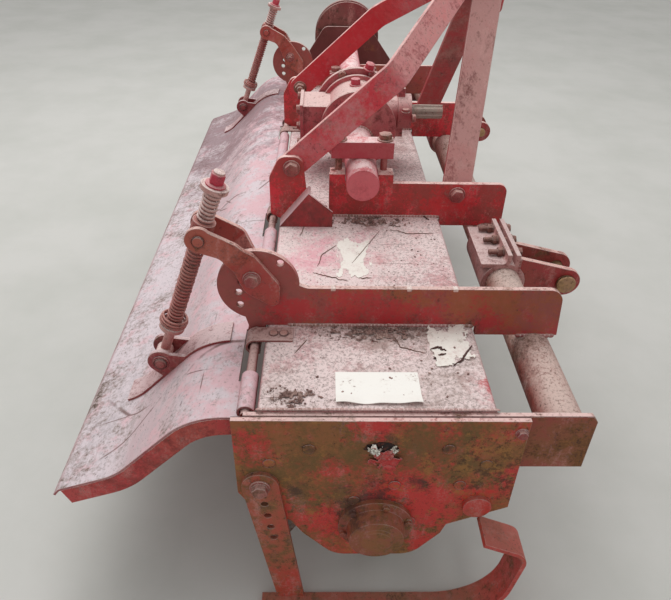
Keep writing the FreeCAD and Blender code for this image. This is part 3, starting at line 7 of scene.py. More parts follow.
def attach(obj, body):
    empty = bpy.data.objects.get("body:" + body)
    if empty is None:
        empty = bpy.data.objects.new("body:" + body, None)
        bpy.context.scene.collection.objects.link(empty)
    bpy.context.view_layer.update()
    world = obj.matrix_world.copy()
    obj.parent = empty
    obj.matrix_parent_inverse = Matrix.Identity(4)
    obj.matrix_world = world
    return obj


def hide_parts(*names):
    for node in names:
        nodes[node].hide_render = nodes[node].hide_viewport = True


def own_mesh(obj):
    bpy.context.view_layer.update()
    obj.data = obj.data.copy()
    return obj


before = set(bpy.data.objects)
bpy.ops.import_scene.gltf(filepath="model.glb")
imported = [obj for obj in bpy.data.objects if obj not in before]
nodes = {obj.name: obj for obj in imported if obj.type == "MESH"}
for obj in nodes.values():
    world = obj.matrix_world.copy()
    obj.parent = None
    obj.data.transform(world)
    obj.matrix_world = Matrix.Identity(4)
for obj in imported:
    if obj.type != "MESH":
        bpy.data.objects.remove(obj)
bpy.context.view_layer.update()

# The place the picture is taken from: the machine's right hand end, looking along the deck
# and down on it, at about a standing person's eye height.
camera_spot = (-0.0487, -1.5740, 1.1666)
look_right = Vector((0.99973, -0.01376, 0.01890))
look_up = Vector((-0.00732, 0.58390, 0.81179))
look_back = Vector((-0.02221, -0.81171, 0.58364))
lens_data = bpy.data.cameras.new("camera")
lens_data.lens = 33.26
lens_data.sensor_width = 36
lens_data.clip_start = 0.02
camera = bpy.data.objects.new("camera", lens_data)
bpy.context.scene.collection.objects.link(camera)
turned = Matrix((look_right, look_up, look_back)).transposed().to_4x4()
camera.matrix_world = Matrix.Translation(camera_spot) @ turned
bpy.context.scene.camera = camera


# The studio: a plain pale floor, an even sky all round and one wide soft panel overhead.
def paint_chip(red, green, blue):
    """A colour as a screen shows it, 0 to 255, as the light values that Blender takes."""
    parts = [part / 255 for part in (red, green, blue)]
    light = [part / 12.92 if part < 0.0405 else ((part + 0.055) / 1.055) ** 2.4 for part in parts]
    return (*light, 1.0)


def add(tree, kind, choices=None, **sockets):
    """Puts one node in a material, with its choices made and its sockets set or joined."""
    node = tree.nodes.new("ShaderNode" + kind)
    for key, choice in (choices or {}).items():
        setattr(node, key, choice)
    for key, setting in sockets.items():
        plug(tree, node.inputs[key.replace("_", " ")], setting)
    return node


def plug(tree, socket, setting):
    if isinstance(setting, bpy.types.NodeSocket):
        tree.links.new(setting, socket)
    else:
        socket.default_value = setting


def reckon(tree, operation, *settings):
    node = tree.nodes.new("ShaderNodeMath")
    node.operation = operation
    for socket, setting in zip(node.inputs, settings):
        plug(tree, socket, setting)
    return node.outputs[0]


def plus(tree, one, other):
    return reckon(tree, "ADD", one, other)


def times(tree, one, other):
    return reckon(tree, "MULTIPLY", one, other)


def between(tree, height, low, high, to_low=0.0, to_high=1.0):
    """Runs from to_low to to_high while height goes from low to high."""
    node = add(tree, "MapRange", Value=height, From_Min=low, From_Max=high)
    plug(tree, node.inputs["To Min"], to_low)
    plug(tree, node.inputs["To Max"], to_high)
    return node.outputs["Result"]


def cloud(tree, where, scale, detail=6.0, rough=0.6):
    return add(tree, "TexNoise", Vector=where, Scale=scale, Detail=detail, Roughness=rough).outputs[0]


def weigh(tree, *parts):
    """Adds up patterns, each with its own weight."""
    total = 0.0
    for pattern, weight in parts:
        total = plus(tree, total, times(tree, pattern, weight))
    return total


def start_finish(name, tint, rough, metal=0.0):
    """A new material with one shader, for further coats to be laid on."""
    material = bpy.data.materials.new(name)
    material.use_nodes = True
    shader = material.node_tree.nodes["Principled BSDF"]
    shader.inputs["Base Color"].default_value = tint
    shader.inputs["Roughness"].default_value = rough
    shader.inputs["Metallic"].default_value = metal
    return material


def lay(tree, tint, rough, cover):
    """Lays one more coat over a finish wherever cover is 1."""
    shader = tree.nodes["Principled BSDF"]
    coats = (("Base Color", "RGBA", 6, 7, 2, tint), ("Roughness", "FLOAT", 2, 3, 0, rough))
    for name, kind, under, over, out, coat in coats:
        socket = shader.inputs[name]
        mix = tree.nodes.new("ShaderNodeMix")
        mix.data_type = kind
        plug(tree, mix.inputs[0], cover)
        if socket.is_linked:
            plug(tree, mix.inputs[under], socket.links[0].from_socket)
        else:
            mix.inputs[under].default_value = socket.default_value
        plug(tree, mix.inputs[over], coat)
        tree.links.new(mix.outputs[out], socket)


floor_size = 40
bpy.ops.object.select_all(action="DESELECT")
bpy.ops.mesh.primitive_plane_add(size=floor_size, location=(0, 0, 0))
floor = bpy.context.object
floor.name = "floor"
floor_paint = start_finish("floor_paint", paint_chip(206, 205, 200), 0.9)
tree = floor_paint.node_tree
spot = add(tree, "TexCoord").outputs["Object"]
lay(tree, paint_chip(198, 198, 192), 0.95, between(tree, cloud(tree, spot, 2.5), 0.4, 0.65))
floor.data.materials.append(floor_paint)

sky = bpy.data.worlds.new("sky")
bpy.context.scene.world = sky
sky.use_nodes = True
tree = sky.node_tree
rays = add(tree, "LightPath")
seen = reckon(tree, "MAXIMUM", rays.outputs["Is Camera Ray"], rays.outputs["Is Glossy Ray"])
seen = reckon(tree, "MAXIMUM", seen, rays.outputs["Is Transmission Ray"])
tree.nodes["Background"].inputs["Color"].default_value = (1, 1, 1, 1)
tree.links.new(between(tree, seen, 0, 1, 0.55, 0.95), tree.nodes["Background"].inputs["Strength"])

panel_data = bpy.data.lights.new("panel", "AREA")
panel_data.shape = "RECTANGLE"
panel_data.size = 3.0
panel_data.size_y = 3.0
panel_data.energy = 96
panel = bpy.data.objects.new("panel", panel_data)
bpy.context.scene.collection.objects.link(panel)
panel.location = (-0.6, 1.0, 3.9)
panel.rotation_euler = (Vector((0, 0, 0.3)) - panel.location).to_track_quat("-Z", "Y").to_euler()
bpy.context.scene.view_settings.view_transform = "Standard"


# The deck: one flat steel sheet over the rotor with folded lips, painted red in the shop.
# Its paint has gone chalky and pink from sun and dust, with rust coming through in patches.
deck_top, brace_y, mast_y = 252, 697, 283


def from_axle(x, y, z=deck_top):
    """A place given in millimetres from the middle of the rotor, in the frame's metres."""
    axle_ahead, axle_high = 0.04599, 0.232
    return Vector((x / 1000 + axle_ahead, y / 1000, z / 1000 + axle_high))


def near_to(tree, spot, place, radius):
    """Is 1 at a place on the machine and falls to 0 at a radius round it."""
    far = add(tree, "VectorMath", {"operation": "DISTANCE"})
    plug(tree, far.inputs[0], spot)
    plug(tree, far.inputs[1], from_axle(*place))
    return between(tree, far.outputs["Value"], 0, radius, 1, 0)


def scored(tree, spot, scale, turn, width, where_at, where_full):
    """Long thin scratches: the borders of drawn out cells, broken up by a slow pattern."""
    drawn = add(tree, "Mapping", Vector=spot, Rotation=(0, 0, math.radians(turn)), Scale=scale)
    borders = {"feature": "DISTANCE_TO_EDGE"}
    cells = add(tree, "TexVoronoi", borders, Vector=drawn.outputs["Vector"], Scale=1.0)
    line = between(tree, cells.outputs["Distance"], width, width * 0.3)
    return times(tree, line, between(tree, cloud(tree, spot, 7, 4), where_at, where_full))


def mottled(tree, spot, coarse, fine, share=0.6):
    """A coarse cloud with a finer one in it, each given as its scale, detail and roughness."""
    return weigh(tree, (cloud(tree, spot, *coarse), share), (cloud(tree, spot, *fine), 1 - share))


def shade(tone, by):
    """A light value made darker or lighter."""
    return (*(min(1, by * part) for part in tone[:3]), 1.0)


def open_up(material):
    """A finish's node tree, and the place on the machine that its patterns are laid by."""
    tree = material.node_tree
    return tree, add(tree, "TexCoord").outputs["Object"]


def along_axis(tree, vector, axis):
    return add(tree, "SeparateXYZ", Vector=vector).outputs[axis]


def level(tree):
    """Is 1 on a face that looks straight up, 0 on an upright one."""
    return along_axis(tree, add(tree, "NewGeometry").outputs["Normal"], "Z")


def emboss(tree, **sockets):
    bump = add(tree, "Bump", **sockets)
    tree.links.new(bump.outputs["Normal"], tree.nodes["Principled BSDF"].inputs["Normal"])


def pushed(tree, spot, pattern, places):
    """Raises or lowers a pattern round places, each with the radius that it reaches to."""
    for *place, radius, push in places:
        pattern = plus(tree, pattern, times(tree, near_to(tree, spot, place, radius), push))
    return pattern


def old_paint(name, coat, faded, rust, dust, rust_at=0.56, dusty=0.85, edge_wear_and_highlight=0.8, gloss=0.42,
              run=(1, 1, 1), pushes=(), specks=0.7, bare=(0.60, 0.50)):
    """Shop paint on steel after years outside: faded, grimy, rusted, dust on top, and pale edges that are
    partly wear and partly a painted highlight.
    """
    coat, faded, rust, dust = (paint_chip(*tone) for tone in (coat, faded, rust, dust))
    material = start_finish(name, coat, gloss)
    tree, spot = open_up(material)
    where = add(tree, "Mapping", Vector=spot, Scale=run).outputs["Vector"]
    broad = cloud(tree, where, 4.5, 5, 0.55)
    patch = cloud(tree, where, 15, 10, 0.68)
    grain = cloud(tree, where, 70, 9, 0.72)
    crumb = cloud(tree, where, 230, 5, 0.68)
    lay(tree, faded, 0.6, between(tree, weigh(tree, (broad, 0.5), (patch, 0.3), (grain, 0.2)), 0.46, 0.54))
    grimy = weigh(tree, (patch, 0.4), (grain, 0.4), (crumb, 0.2))
    lay(tree, shade(coat, 0.42), 0.7, between(tree, grimy, 0.505, 0.57, 0, 0.7))
    rusty = pushed(tree, spot, weigh(tree, (broad, 0.3), (patch, 0.4), (grain, 0.3)), pushes)
    rusted = between(tree, rusty, rust_at, rust_at + 0.035)
    lay(tree, rust, 0.88, rusted)
    pits = weigh(tree, (grain, 0.5), (crumb, 0.5))
    lay(tree, shade(rust, 1.7), 0.9, times(tree, rusted, between(tree, pits, 0.48, 0.40)))
    lay(tree, paint_chip(70, 44, 36), 0.95, times(tree, rusted, between(tree, pits, 0.53, 0.60)))
    smeared = add(tree, "Mapping", Vector=spot, Scale=(1, 1, 0.35)).outputs["Vector"]
    haze = weigh(tree, (cloud(tree, smeared, 30, 8, 0.7), 0.6), (crumb, 0.4))
    lay(tree, paint_chip(206, 146, 138), 0.8, between(tree, haze, 0.515, 0.60, 0, 0.45))
    rounded = add(tree, "Bevel", {"samples": 6}, Radius=0.0025).outputs["Normal"]
    match = add(tree, "VectorMath", {"operation": "DOT_PRODUCT"})
    plug(tree, match.inputs[0], rounded)
    plug(tree, match.inputs[1], add(tree, "NewGeometry").outputs["Normal"])
    bare_at = weigh(tree, (patch, 0.4), (grain, 0.35), (crumb, 0.25))
    settled = times(tree, between(tree, level(tree), 0.25, 0.95), between(tree, bare_at, *bare))
    lay(tree, dust, 0.75, times(tree, settled, dusty))
    dirty = between(tree, weigh(tree, (broad, 0.35), (grain, 0.35), (crumb, 0.3)), 0.49, 0.60, 0, 0.55)
    lay(tree, shade(dust, 0.62), 0.85, times(tree, settled, dirty))
    # Pale edges: partly wear of the paint, partly a painted highlight that is strongest where an edge faces
    # up.
    edge = between(tree, match.outputs["Value"], 0.995, 0.93)
    edge = times(tree, edge, between(tree, grain, 0.36, 0.55, 0.1, edge_wear_and_highlight))
    edge_highlight_up = between(tree, along_axis(tree, rounded, "Z"), -0.1, 0.55, 0.18, 1.0)
    lay(tree, paint_chip(236, 210, 202), 0.6, times(tree, edge, edge_highlight_up))
    lay(tree, paint_chip(74, 50, 44), 0.9, times(tree, between(tree, crumb, 0.60, 0.66), specks))
    relief = weigh(tree, (patch, 0.7), (grain, 0.45), (crumb, 0.12), (rusted, -0.30))
    emboss(tree, Strength=0.5, Distance=0.0025, Height=relief, Normal=rounded)
    return material


def film(material, tint, rough, start, places, most=0.8, scale=13, soft=0.13, upright=False):
    """Lays a soft film over a finish, thicker or thinner at given places: dirt and rubbed paint, and in some
    calls a painted shadow.
    """
    tree, spot = open_up(material)
    pattern = mottled(tree, spot, (scale, 8, 0.66), (scale * 9, 6, 0.7))
    cover = between(tree, pushed(tree, spot, pattern, places), start, start + soft, 0, most)
    if upright:
        cover = times(tree, cover, between(tree, level(tree), 0.6, 0.2))
    lay(tree, paint_chip(*tint), rough, cover)


def coat_over(material, *names):
    """Gives carried-over nodes this finish in place of the plain one they come with."""
    for name in names:
        mesh = nodes[name].data
        mesh.materials.clear()
        mesh.materials.append(material)


def put(piece, body):
    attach(piece, body)
    return piece


def pick(*pieces):
    """Selects these pieces alone, the first of them active."""
    bpy.ops.object.select_all(action="DESELECT")
    for piece in pieces:
        piece.select_set(True)
    bpy.context.view_layer.objects.active = pieces[0]


def smooth(piece, degrees=35):
    pick(piece)
    bpy.ops.object.shade_smooth_by_angle(angle=math.radians(degrees))


def dress(piece, name, material, degrees=0):
    """Names a finished piece, coats it, and smooths it where asked."""
    piece.name = name
    piece.data.materials.clear()
    piece.data.materials.append(material)
    if degrees:
        smooth(piece, degrees)
    return piece


def finish_with(piece, kind, **settings):
    """Adds one modifier and applies it."""
    pick(piece)
    modifier = piece.modifiers.new(kind.title(), kind)
    for key, setting in settings.items():
        setattr(modifier, key, setting)
    bpy.ops.object.modifier_apply(modifier=modifier.name)


def start_mesh(add_first, **sizes):
    """Adds a primitive on its own, its origin at the world's, and opens it in edit mode."""
    bpy.ops.object.select_all(action="DESELECT")
    add_first(**sizes)
    piece = bpy.context.object
    piece.data.transform(Matrix.Translation(piece.location))
    piece.location = (0, 0, 0)
    bpy.ops.object.mode_set(mode="EDIT")
    bpy.ops.mesh.select_all(action="SELECT")
    return piece


models = set()


def fit(name, model, places, material, body="frame"):
    """Copies a small part to each place, as one piece with its own mesh, and fits it on a body."""
    copies = []
    for place in places:
        one = bpy.data.objects.new(name, model.data.copy())
        bpy.context.scene.collection.objects.link(one)
        one.data.transform(place)
        copies.append(one)
    pick(*copies)
    if len(copies) > 1:
        bpy.ops.object.join()
    put(dress(copies[0], name, material), body)
    models.add(model)


def close_mesh(piece, degrees=35):
    """Leaves edit mode and smooths the piece."""
    bpy.ops.object.mode_set(mode="OBJECT")
    smooth(piece, degrees)
    return piece


def soften(offset, segments=2):
    """Rounds the edges of what is selected in edit mode."""
    bpy.ops.mesh.bevel(offset=offset, segments=segments, affect="EDGES")


def add_round(vertices, radius, tall, foot=0.0, more=False):
    """Stands a cylinder on a height: the start of a new piece, or more of the one that is open."""
    sizes = {"vertices": vertices, "radius": radius, "depth": tall, "location": (0, 0, foot + tall / 2)}
    if not more:
        return start_mesh(bpy.ops.mesh.primitive_cylinder_add, **sizes)
    bpy.ops.mesh.select_all(action="DESELECT")
    bpy.ops.mesh.primitive_cylinder_add(**sizes)


def torn_sheet(name, size, cuts, shape, place, material, thick, outwards=1.0, degrees=60):
    """A thin sheet: shape gives each corner's height, or None where the sheet is torn away."""
    cuts_x, cuts_y = cuts
    piece = start_mesh(bpy.ops.mesh.primitive_grid_add, size=1, x_subdivisions=cuts_x, y_subdivisions=cuts_y)
    bpy.ops.transform.resize(value=(*size, 1))
    bpy.ops.mesh.select_all(action="DESELECT")
    bpy.ops.object.mode_set(mode="OBJECT")
    for corner in piece.data.vertices:
        x, y = corner.co.x, corner.co.y
        height = shape(x, y, x / size[0] * 2, y / size[1] * 2)
        corner.select = height is None
        corner.co.z = height or 0.0
    bpy.ops.object.mode_set(mode="EDIT")
    bpy.ops.mesh.delete(type="VERT")
    bpy.ops.object.mode_set(mode="OBJECT")
    finish_with(piece, "SOLIDIFY", thickness=thick, offset=outwards)
    piece.data.transform(place)
    return dress(piece, name, material, degrees)


def peel(seed, ragged, curl):
    """The shape of old paint that has let go: torn round its rim, its corners curling up."""
    def shape(x, y, across, along):
        rim = max(abs(across), abs(along))
        rough_line = noise.fractal(Vector((across * 2 + seed, along * 2, seed)), 0.9, 2.2, 5)
        if rim > 0.86 + ragged * rough_line:
            return None
        lift = noise.noise(Vector((across * 1.6, along * 1.6, seed + 4)))
        return curl * max(0.0, rim - 0.45) * max(0.0, lift + 0.25)
    return shape


rust_tone = (122, 82, 62)
deck_paint = old_paint(
    "deck_paint", (156, 50, 62), (192, 116, 122), rust_tone, (234, 216, 213), rust_at=0.60, dusty=0.95,
    run=(1.0, 0.75, 1.0), specks=0.85, bare=(0.68, 0.58))
film(
    deck_paint, (222, 152, 164), 0.6, 0.53, ((-150, -480, 0.16, 0.10), (-60, -400, 0.12, 0.08),
    (120, -560, 0.10, 0.05), (-100, -740, 0.12, 0.07), (-120, 100, 0.30, 0.08),
    (-120, 500, 0.3, 0.08), (180, -860, 0.07, 0.15)), most=0.75)
# Grey-brown dirt in soft patches; its pushes along the near brace's foot, at y about -712, also paint the
# brace's shadow on the deck.
film(
    deck_paint, (164, 146, 136), 0.9, 0.52, ((130, -640, 0.12, 0.06), (40, -860, 0.22, 0.03),
    (20, -670, 0.12, 0.10), (-150, -880, 0.08, 0.08), (0, -270, 0.10, 0.14),
    (60, 250, 0.30, 0.07), (0, 700, 0.30, 0.06), (-110, -460, 0.20, -0.10),
    (130, -850, 0.14, 0.08), (-90, -715, 0.07, 0.10), (0, -712, 0.07, 0.12),
    (90, -712, 0.07, 0.10)), most=0.7)
film(
    deck_paint, (206, 142, 144), 0.7, 0.54, ((60, -520, 0.16, 0.06), (150, -620, 0.12, 0.05),
    (130, -300, 0.14, 0.06)), most=0.6, scale=18)
# Dark soil stains round the dirt banks; the pushes along the near brace's foot, at y about -706, are partly
# a painted shadow of the brace.
film(
    deck_paint, (84, 64, 56), 0.95, 0.585, ((20, -675, 0.10, 0.10), (0, -245, 0.09, 0.16),
    (-145, -885, 0.05, 0.09), (60, -640, 0.16, 0.03), (-100, -708, 0.05, 0.10),
    (-20, -706, 0.05, 0.13), (60, -706, 0.05, 0.11), (130, -706, 0.05, 0.08),
    (-30, -880, 0.2, 0.02)), most=0.85, scale=60, soft=0.07)
film(
    deck_paint, (128, 108, 102), 0.95, 0.515, ((40, -860, 0.30, 0.012), (130, -640, 0.2, 0.02),
    (-120, -480, 0.2, -0.06)), most=0.62, scale=210, soft=0.05)
film(deck_paint, (186, 60, 66), 0.6, 0.60, ((186, -860, 250, 0.05, 0.3),), most=0.8, scale=30)
tree, spot = open_up(deck_paint)
lay(tree, paint_chip(96, 66, 60), 0.9, scored(tree, spot, (3, 11, 3), 12, 0.008, 0.54, 0.62))
coat_over(deck_paint, "deck")

bare_label = start_finish("bare_label", paint_chip(246, 243, 236), 0.5)
tree, spot = open_up(bare_label)
rubbed = mottled(tree, spot, (22, 10, 0.72), (190, 4, 0.7))
lay(tree, paint_chip(206, 190, 180), 0.8, between(tree, rubbed, 0.55, 0.66, 0, 0.7))
lay(tree, paint_chip(214, 186, 184), 0.7, between(tree, cloud(tree, spot, 14, 8, 0.7), 0.60, 0.70, 0, 0.6))
lay(tree, paint_chip(120, 96, 86), 0.8, between(tree, rubbed, 0.60, 0.64))
emboss(tree, Strength=0.35, Distance=0.001, Height=rubbed)

plate_low, plate_high = from_axle(-72, -899, 252.3), from_axle(62, -826, 252.3)
label = start_mesh(bpy.ops.mesh.primitive_grid_add, x_subdivisions=30, y_subdivisions=18, size=1)
bpy.ops.transform.resize(value=(plate_high.x - plate_low.x, plate_high.y - plate_low.y, 1))
bpy.ops.object.mode_set(mode="OBJECT")
for corner in label.data.vertices:
    toward = max(0.0, -corner.co.y / (plate_high.y - plate_low.y) * 2 - 0.35)
    corner.co.z = 0.0110 * toward ** 1.5 * (0.7 + noise.noise(Vector((corner.co.x * 26, 2.0, 7.0))))
finish_with(label, "SOLIDIFY", thickness=0.0009, offset=1.0)
label.data.transform(Matrix.Translation((plate_low + plate_high) / 2))
put(dress(label, "deck_label_plate", bare_label, 40), "frame")

peeled = start_finish("peeled", paint_chip(240, 235, 226), 0.7)
film(peeled, (216, 196, 190), 0.8, 0.50, (), most=0.7, scale=24)
film(peeled, (178, 164, 152), 0.85, 0.56, (), most=0.7, scale=60, soft=0.06)
for name, low, high, thick, shape in (
    ("deck_peeled_patch_a", (-66, -552), (8, -380), 0.0005, peel(3.0, 0.62, 0.002)),
    ("deck_peeled_patch_b", (90, -812), (164, -703), 0.0008, peel(9.5, 0.55, 0.012)),
):
    low, high = from_axle(*low, deck_top + 0.2), from_axle(*high, deck_top + 0.2)
    size = (high[0] - low[0], high[1] - low[1])
    middle = Matrix.Translation(((low[0] + high[0]) / 2, (low[1] + high[1]) / 2, low[2]))
    put(torn_sheet(name, size, (44, 44), shape, middle, peeled, thick, degrees=50), "frame")


def drawn_wire(name, runs, thick, roundness, material):
    """Round wire drawn through runs of places, each with its share of the full thickness."""
    bent = bpy.data.curves.new(name, "CURVE")
    bent.dimensions = "3D"
    bent.bevel_depth = thick
    bent.bevel_resolution = roundness
    bent.use_fill_caps = True
    for places in runs:
        line = bent.splines.new("POLY")
        line.points.add(len(places) - 1)
        for point, (place, share) in zip(line.points, places):
            point.co = (*place, 1)
            point.radius = share
    piece = bpy.data.objects.new(name, bent)
    bpy.context.scene.collection.objects.link(piece)
    pick(piece)
    bpy.ops.object.convert(target="MESH")
    return dress(bpy.context.object, name, material, 60)


def laid_lines(lines, thick):
    """Runs for thin stems or torn edges lying on the deck, through places across its top."""
    legs = 12
    runs = []
    for number, places in enumerate(lines):
        steps = legs * (len(places) - 1)
        run = []
        for step in range(steps + 1):
            leg = min(step // legs, len(places) - 2)
            x, y = Vector(places[leg]).lerp(Vector(places[leg + 1]), step / legs - leg)
            sway = noise.noise(Vector((step * 0.35, number * 3.0, 1.0)))
            place = from_axle(x + 3 * sway, y + 4 * sway, deck_top + 0.6 + 500 * thick)
            run.append((place, 0.45 + 0.55 * math.sin(math.pi * step / steps)))
        runs.append(run)
    return runs


dry_stem = start_finish("dry_stem", paint_chip(120, 92, 78), 0.9)
film(dry_stem, (84, 60, 52), 0.9, 0.5, (), scale=60)
stems = (
    ((-113, -531), (-80, -547), (-43, -562)), ((-32, -494), (-4, -437), (32, -362)),
    ((-103, -509), (-95, -463), (-64, -424)), ((-142, -384), (-135, -336)),
    ((58, -354), (100, -372), (152, -368)),
    ((-22, -551), (4, -550)), ((30, -729), (40, -761), (82, -779)), ((-140, -780), (-120, -745)),
    ((60, -330), (82, -342)), ((-120, 160), (-60, 190), (-20, 260)), ((40, 520), (90, 560)),
)
torn_edge = start_finish("torn_edge", paint_chip(78, 50, 46), 0.9)
tears = (
    ((91, -768), (104, -763), (117, -772)), ((93, -792), (104, -784), (115, -780)),
    ((124, -809), (140, -796), (152, -776), (164, -758)), ((116, -270), (134, -280), (152, -306)),
)
for name, lines, thick, material in (
    ("deck_dry_stems", stems, 0.0009, dry_stem), ("deck_torn_edges", tears, 0.0022, torn_edge),
):
    put(drawn_wire(name, laid_lines(lines, thick), thick, 1, material), "frame")

soil = start_finish("soil", paint_chip(150, 120, 112), 0.97)
tree, spot = open_up(soil)
crumbs = mottled(tree, spot, (60, 8, 0.75), (260, 4, 0.7))
lay(tree, paint_chip(92, 64, 60), 0.97, between(tree, crumbs, 0.47, 0.62))
lay(tree, paint_chip(192, 166, 156), 0.97, between(tree, crumbs, 0.47, 0.41))
emboss(tree, Strength=0.8, Distance=0.003, Height=crumbs)


def bank(seed, tall):
    """The shape of dried dirt: a low bank with a ragged outline, its height in millimetres."""
    def shape(x, y, across, along):
        torn = noise.fractal(Vector((x * 80 + seed, y * 80, seed)), 0.55, 2.1, 6)
        height = 0.22 - 0.70 * (across * across + along * along) + 0.95 * torn
        if height <= 0:
            return None
        crumb = noise.fractal(Vector((x * 170, y * 170, seed)), 0.7, 2.0, 4)
        return tall / 1000 * min(1.0, height * 1.8) * (0.55 + 0.75 * crumb)
    return shape


for name, x, y, wide, long, seed, tall in (
    ("dirt_by_brace", -10, -678, 120, 34, 1.0, 7), ("dirt_before_brace", -6, -727, 210, 54, 8.0, 5),
    ("dirt_by_tube", -5, -246, 150, 76, 5.0, 8), ("dirt_by_label", -142, -884, 76, 50, 2.0, 5),
    ("dirt_by_foot", 10, -316, 210, 52, 4.0, 6), ("dirt_by_far_foot", 10, 250, 160, 60, 6.0, 7),
    ("dirt_by_far_brace", 20, 672, 170, 44, 7.0, 6), ("dirt_by_far_end", 40, 880, 200, 50, 3.0, 5),
):
    place = Matrix.Translation(from_axle(x, y, deck_top + 0.9))
    put(torn_sheet(name, (wide / 1000, long / 1000), (96, 60), bank(seed, tall), place, soil, 0.0008, -1.0),
        "frame")


lump = start_mesh(bpy.ops.mesh.primitive_ico_sphere_add, subdivisions=1, radius=1)
bpy.ops.transform.resize(value=(1.3, 0.9, 0.6), center_override=(0, 0, 0))
bpy.ops.mesh.bevel(offset=0.18, segments=1, affect="VERTICES")
bpy.ops.object.mode_set(mode="OBJECT")
scatter = random.Random(17)
crumb_places = []
for x, y, spread_x, spread_y, count in (
    (-6, -717, 80, 9, 190), (-142, -884, 24, 13, 60), (10, -318, 60, 14, 60), (-5, -246, 50, 24, 50),
    (110, -770, 30, 40, 30), (100, -420, 50, 60, 40), (60, -600, 60, 50, 36), (30, -860, 90, 26, 40),
    (10, 300, 80, 60, 50), (10, 680, 80, 20, 50), (0, 560, 90, 120, 50), (-60, 120, 60, 90, 40),
):
    for step in range(count):
        place = (scatter.gauss(x, spread_x), scatter.gauss(y, spread_y))
        size = 0.0006 + 0.0018 * scatter.random() ** 2
        spin = Matrix.Rotation(scatter.uniform(0, math.tau), 4, "Z")
        inside = -180 < place[0] < 168 and abs(place[1]) < 900
        clear = min(abs(abs(place[1]) - brace_y), abs(abs(place[1]) - mast_y)) > 10
        if inside and clear:
            lift = Matrix.Translation(from_axle(*place, deck_top + 500 * size))
            crumb_places.append(lift @ spin @ Matrix.Scale(size, 4))
fit("deck_crumbs", lump, crumb_places, soil)


def weld_ripple():
    """One frozen ripple of a weld, flat below and longer along its run than it is high."""
    piece = start_mesh(bpy.ops.mesh.primitive_ico_sphere_add, subdivisions=2, radius=1)
    bpy.ops.mesh.bisect(plane_co=(0, 0, -0.2), plane_no=(0, 0, 1), clear_inner=True, use_fill=True)
    bpy.ops.mesh.select_all(action="SELECT")
    bpy.ops.transform.resize(value=(0.0060, 0.0046, 0.0030), center_override=(0, 0, 0))
    return close_mesh(piece, 60)


def along_run(start, end, up, pitch=0.0068):
    """Places for a weld's ripples from start to end, in millimetres from the rotor's middle."""
    start, end = from_axle(*start), from_axle(*end)
    ahead = (end - start).normalized()
    up = Vector(up).normalized()
    turned = Matrix((ahead, up.cross(ahead), up)).transposed().to_4x4()
    count = max(2, round((end - start).length / pitch))
    places = []
    for step in range(count):
        sway = noise.noise(Vector((step * 0.9, start.x * 40, start.y * 40)))
        size = Matrix.Diagonal((1, 1 + 0.25 * sway, 1 + 0.3 * sway, 1))
        places.append(Matrix.Translation(start.lerp(end, step / (count - 1))) @ turned @ size)
    return places


ripple = weld_ripple()
bead_paint = old_paint(
    "bead_paint", (140, 60, 60), (160, 104, 96), rust_tone, (200, 170, 164), rust_at=0.53, dusty=0.8,
    run=(2, 2, 2))
runs = []
for side in (-1, 1):
    runs += along_run((-188, side * 911, 253), (172, side * 911, 253), (0, -side, 1))
fit("deck_end_welds", ripple, runs, bead_paint)


# The front tube: a steel pipe from side to side that carries the mast and both hitches,
# welded into the side frames. Brown with rust and old red paint, dusty on its upper half.
def round_run(middle, axis, radius, side, first=0, last=360, pitch=0.0068):
    """Places for a weld's ripples round a tube of this radius, against a plate on one side."""
    middle, axis = from_axle(*middle), Vector(axis)
    start = axis.orthogonal().normalized()
    count = max(3, round(math.radians(last - first) * radius / 1000 / pitch))
    places = []
    for step in range(count):
        angle = math.radians(first + (last - first) * step / count)
        out = Matrix.Rotation(angle, 3, axis) @ start
        up = (out + axis * side).normalized()
        ahead = axis.cross(out)
        turned = Matrix((ahead, up.cross(ahead), up)).transposed().to_4x4()
        places.append(Matrix.Translation(middle + out * radius / 1000) @ turned)
    return places


tube_paint = old_paint(
    "tube_paint", (150, 74, 64), (166, 116, 100), rust_tone, (214, 194, 184), rust_at=0.53, dusty=0.8,
    run=(1, 0.8, 1), specks=0.9)
film(tube_paint, (204, 180, 170), 0.9, 0.49, (), most=0.6, scale=14)
film(tube_paint, (104, 76, 66), 0.95, 0.53, (), most=0.7, scale=190, soft=0.05)
coat_over(tube_paint, "front_tube")
runs = round_run((290, -911, 200), (0, 1, 0), 37, -1) + round_run((290, 911, 200), (0, 1, 0), 37, 1)
fit("tube_end_welds", ripple, runs, bead_paint)


# The two ends: an inner side frame and an outer plate on each side, cut from sheet. Plugs of
# weld and a few low heads hold them. The outer faces are half red, half rust brown.
def facing(place, way, turn=0.0):
    """Where a small part goes: its foot at a place, pointing along way, turned about itself."""
    pointed = Vector((0, 0, 1)).rotation_difference(Vector(way)).to_matrix().to_4x4()
    return Matrix.Translation(place) @ pointed @ Matrix.Rotation(math.radians(turn), 4, "Z")


def aim(x, y, z, way, turn=0.0):
    """The same, with the foot given in millimetres from the middle of the rotor."""
    return facing(from_axle(x, y, z), way, turn)


def on_both(x, y, z, turn=0.0, out=1):
    """That place on each side of the machine, facing outwards, or inwards where out is -1."""
    return [aim(x, side * y, z, (0, side * out, 0), turn) for side in (-1, 1)]


def hex_head(flats, tall, washer, washer_tall, stud=0.0):
    """A hexagon bolt head on a round washer, pointing up from the face that it sits on."""
    piece = add_round(6, flats / math.sqrt(3), tall, washer_tall)
    soften(flats * 0.05)
    add_round(28, washer, washer_tall, more=True)
    soften(washer_tall * 0.22)
    if stud:
        add_round(20, flats * 0.31, stud, washer_tall + tall - flats * 0.05, more=True)
        soften(flats * 0.05, 1)
    return close_mesh(piece)


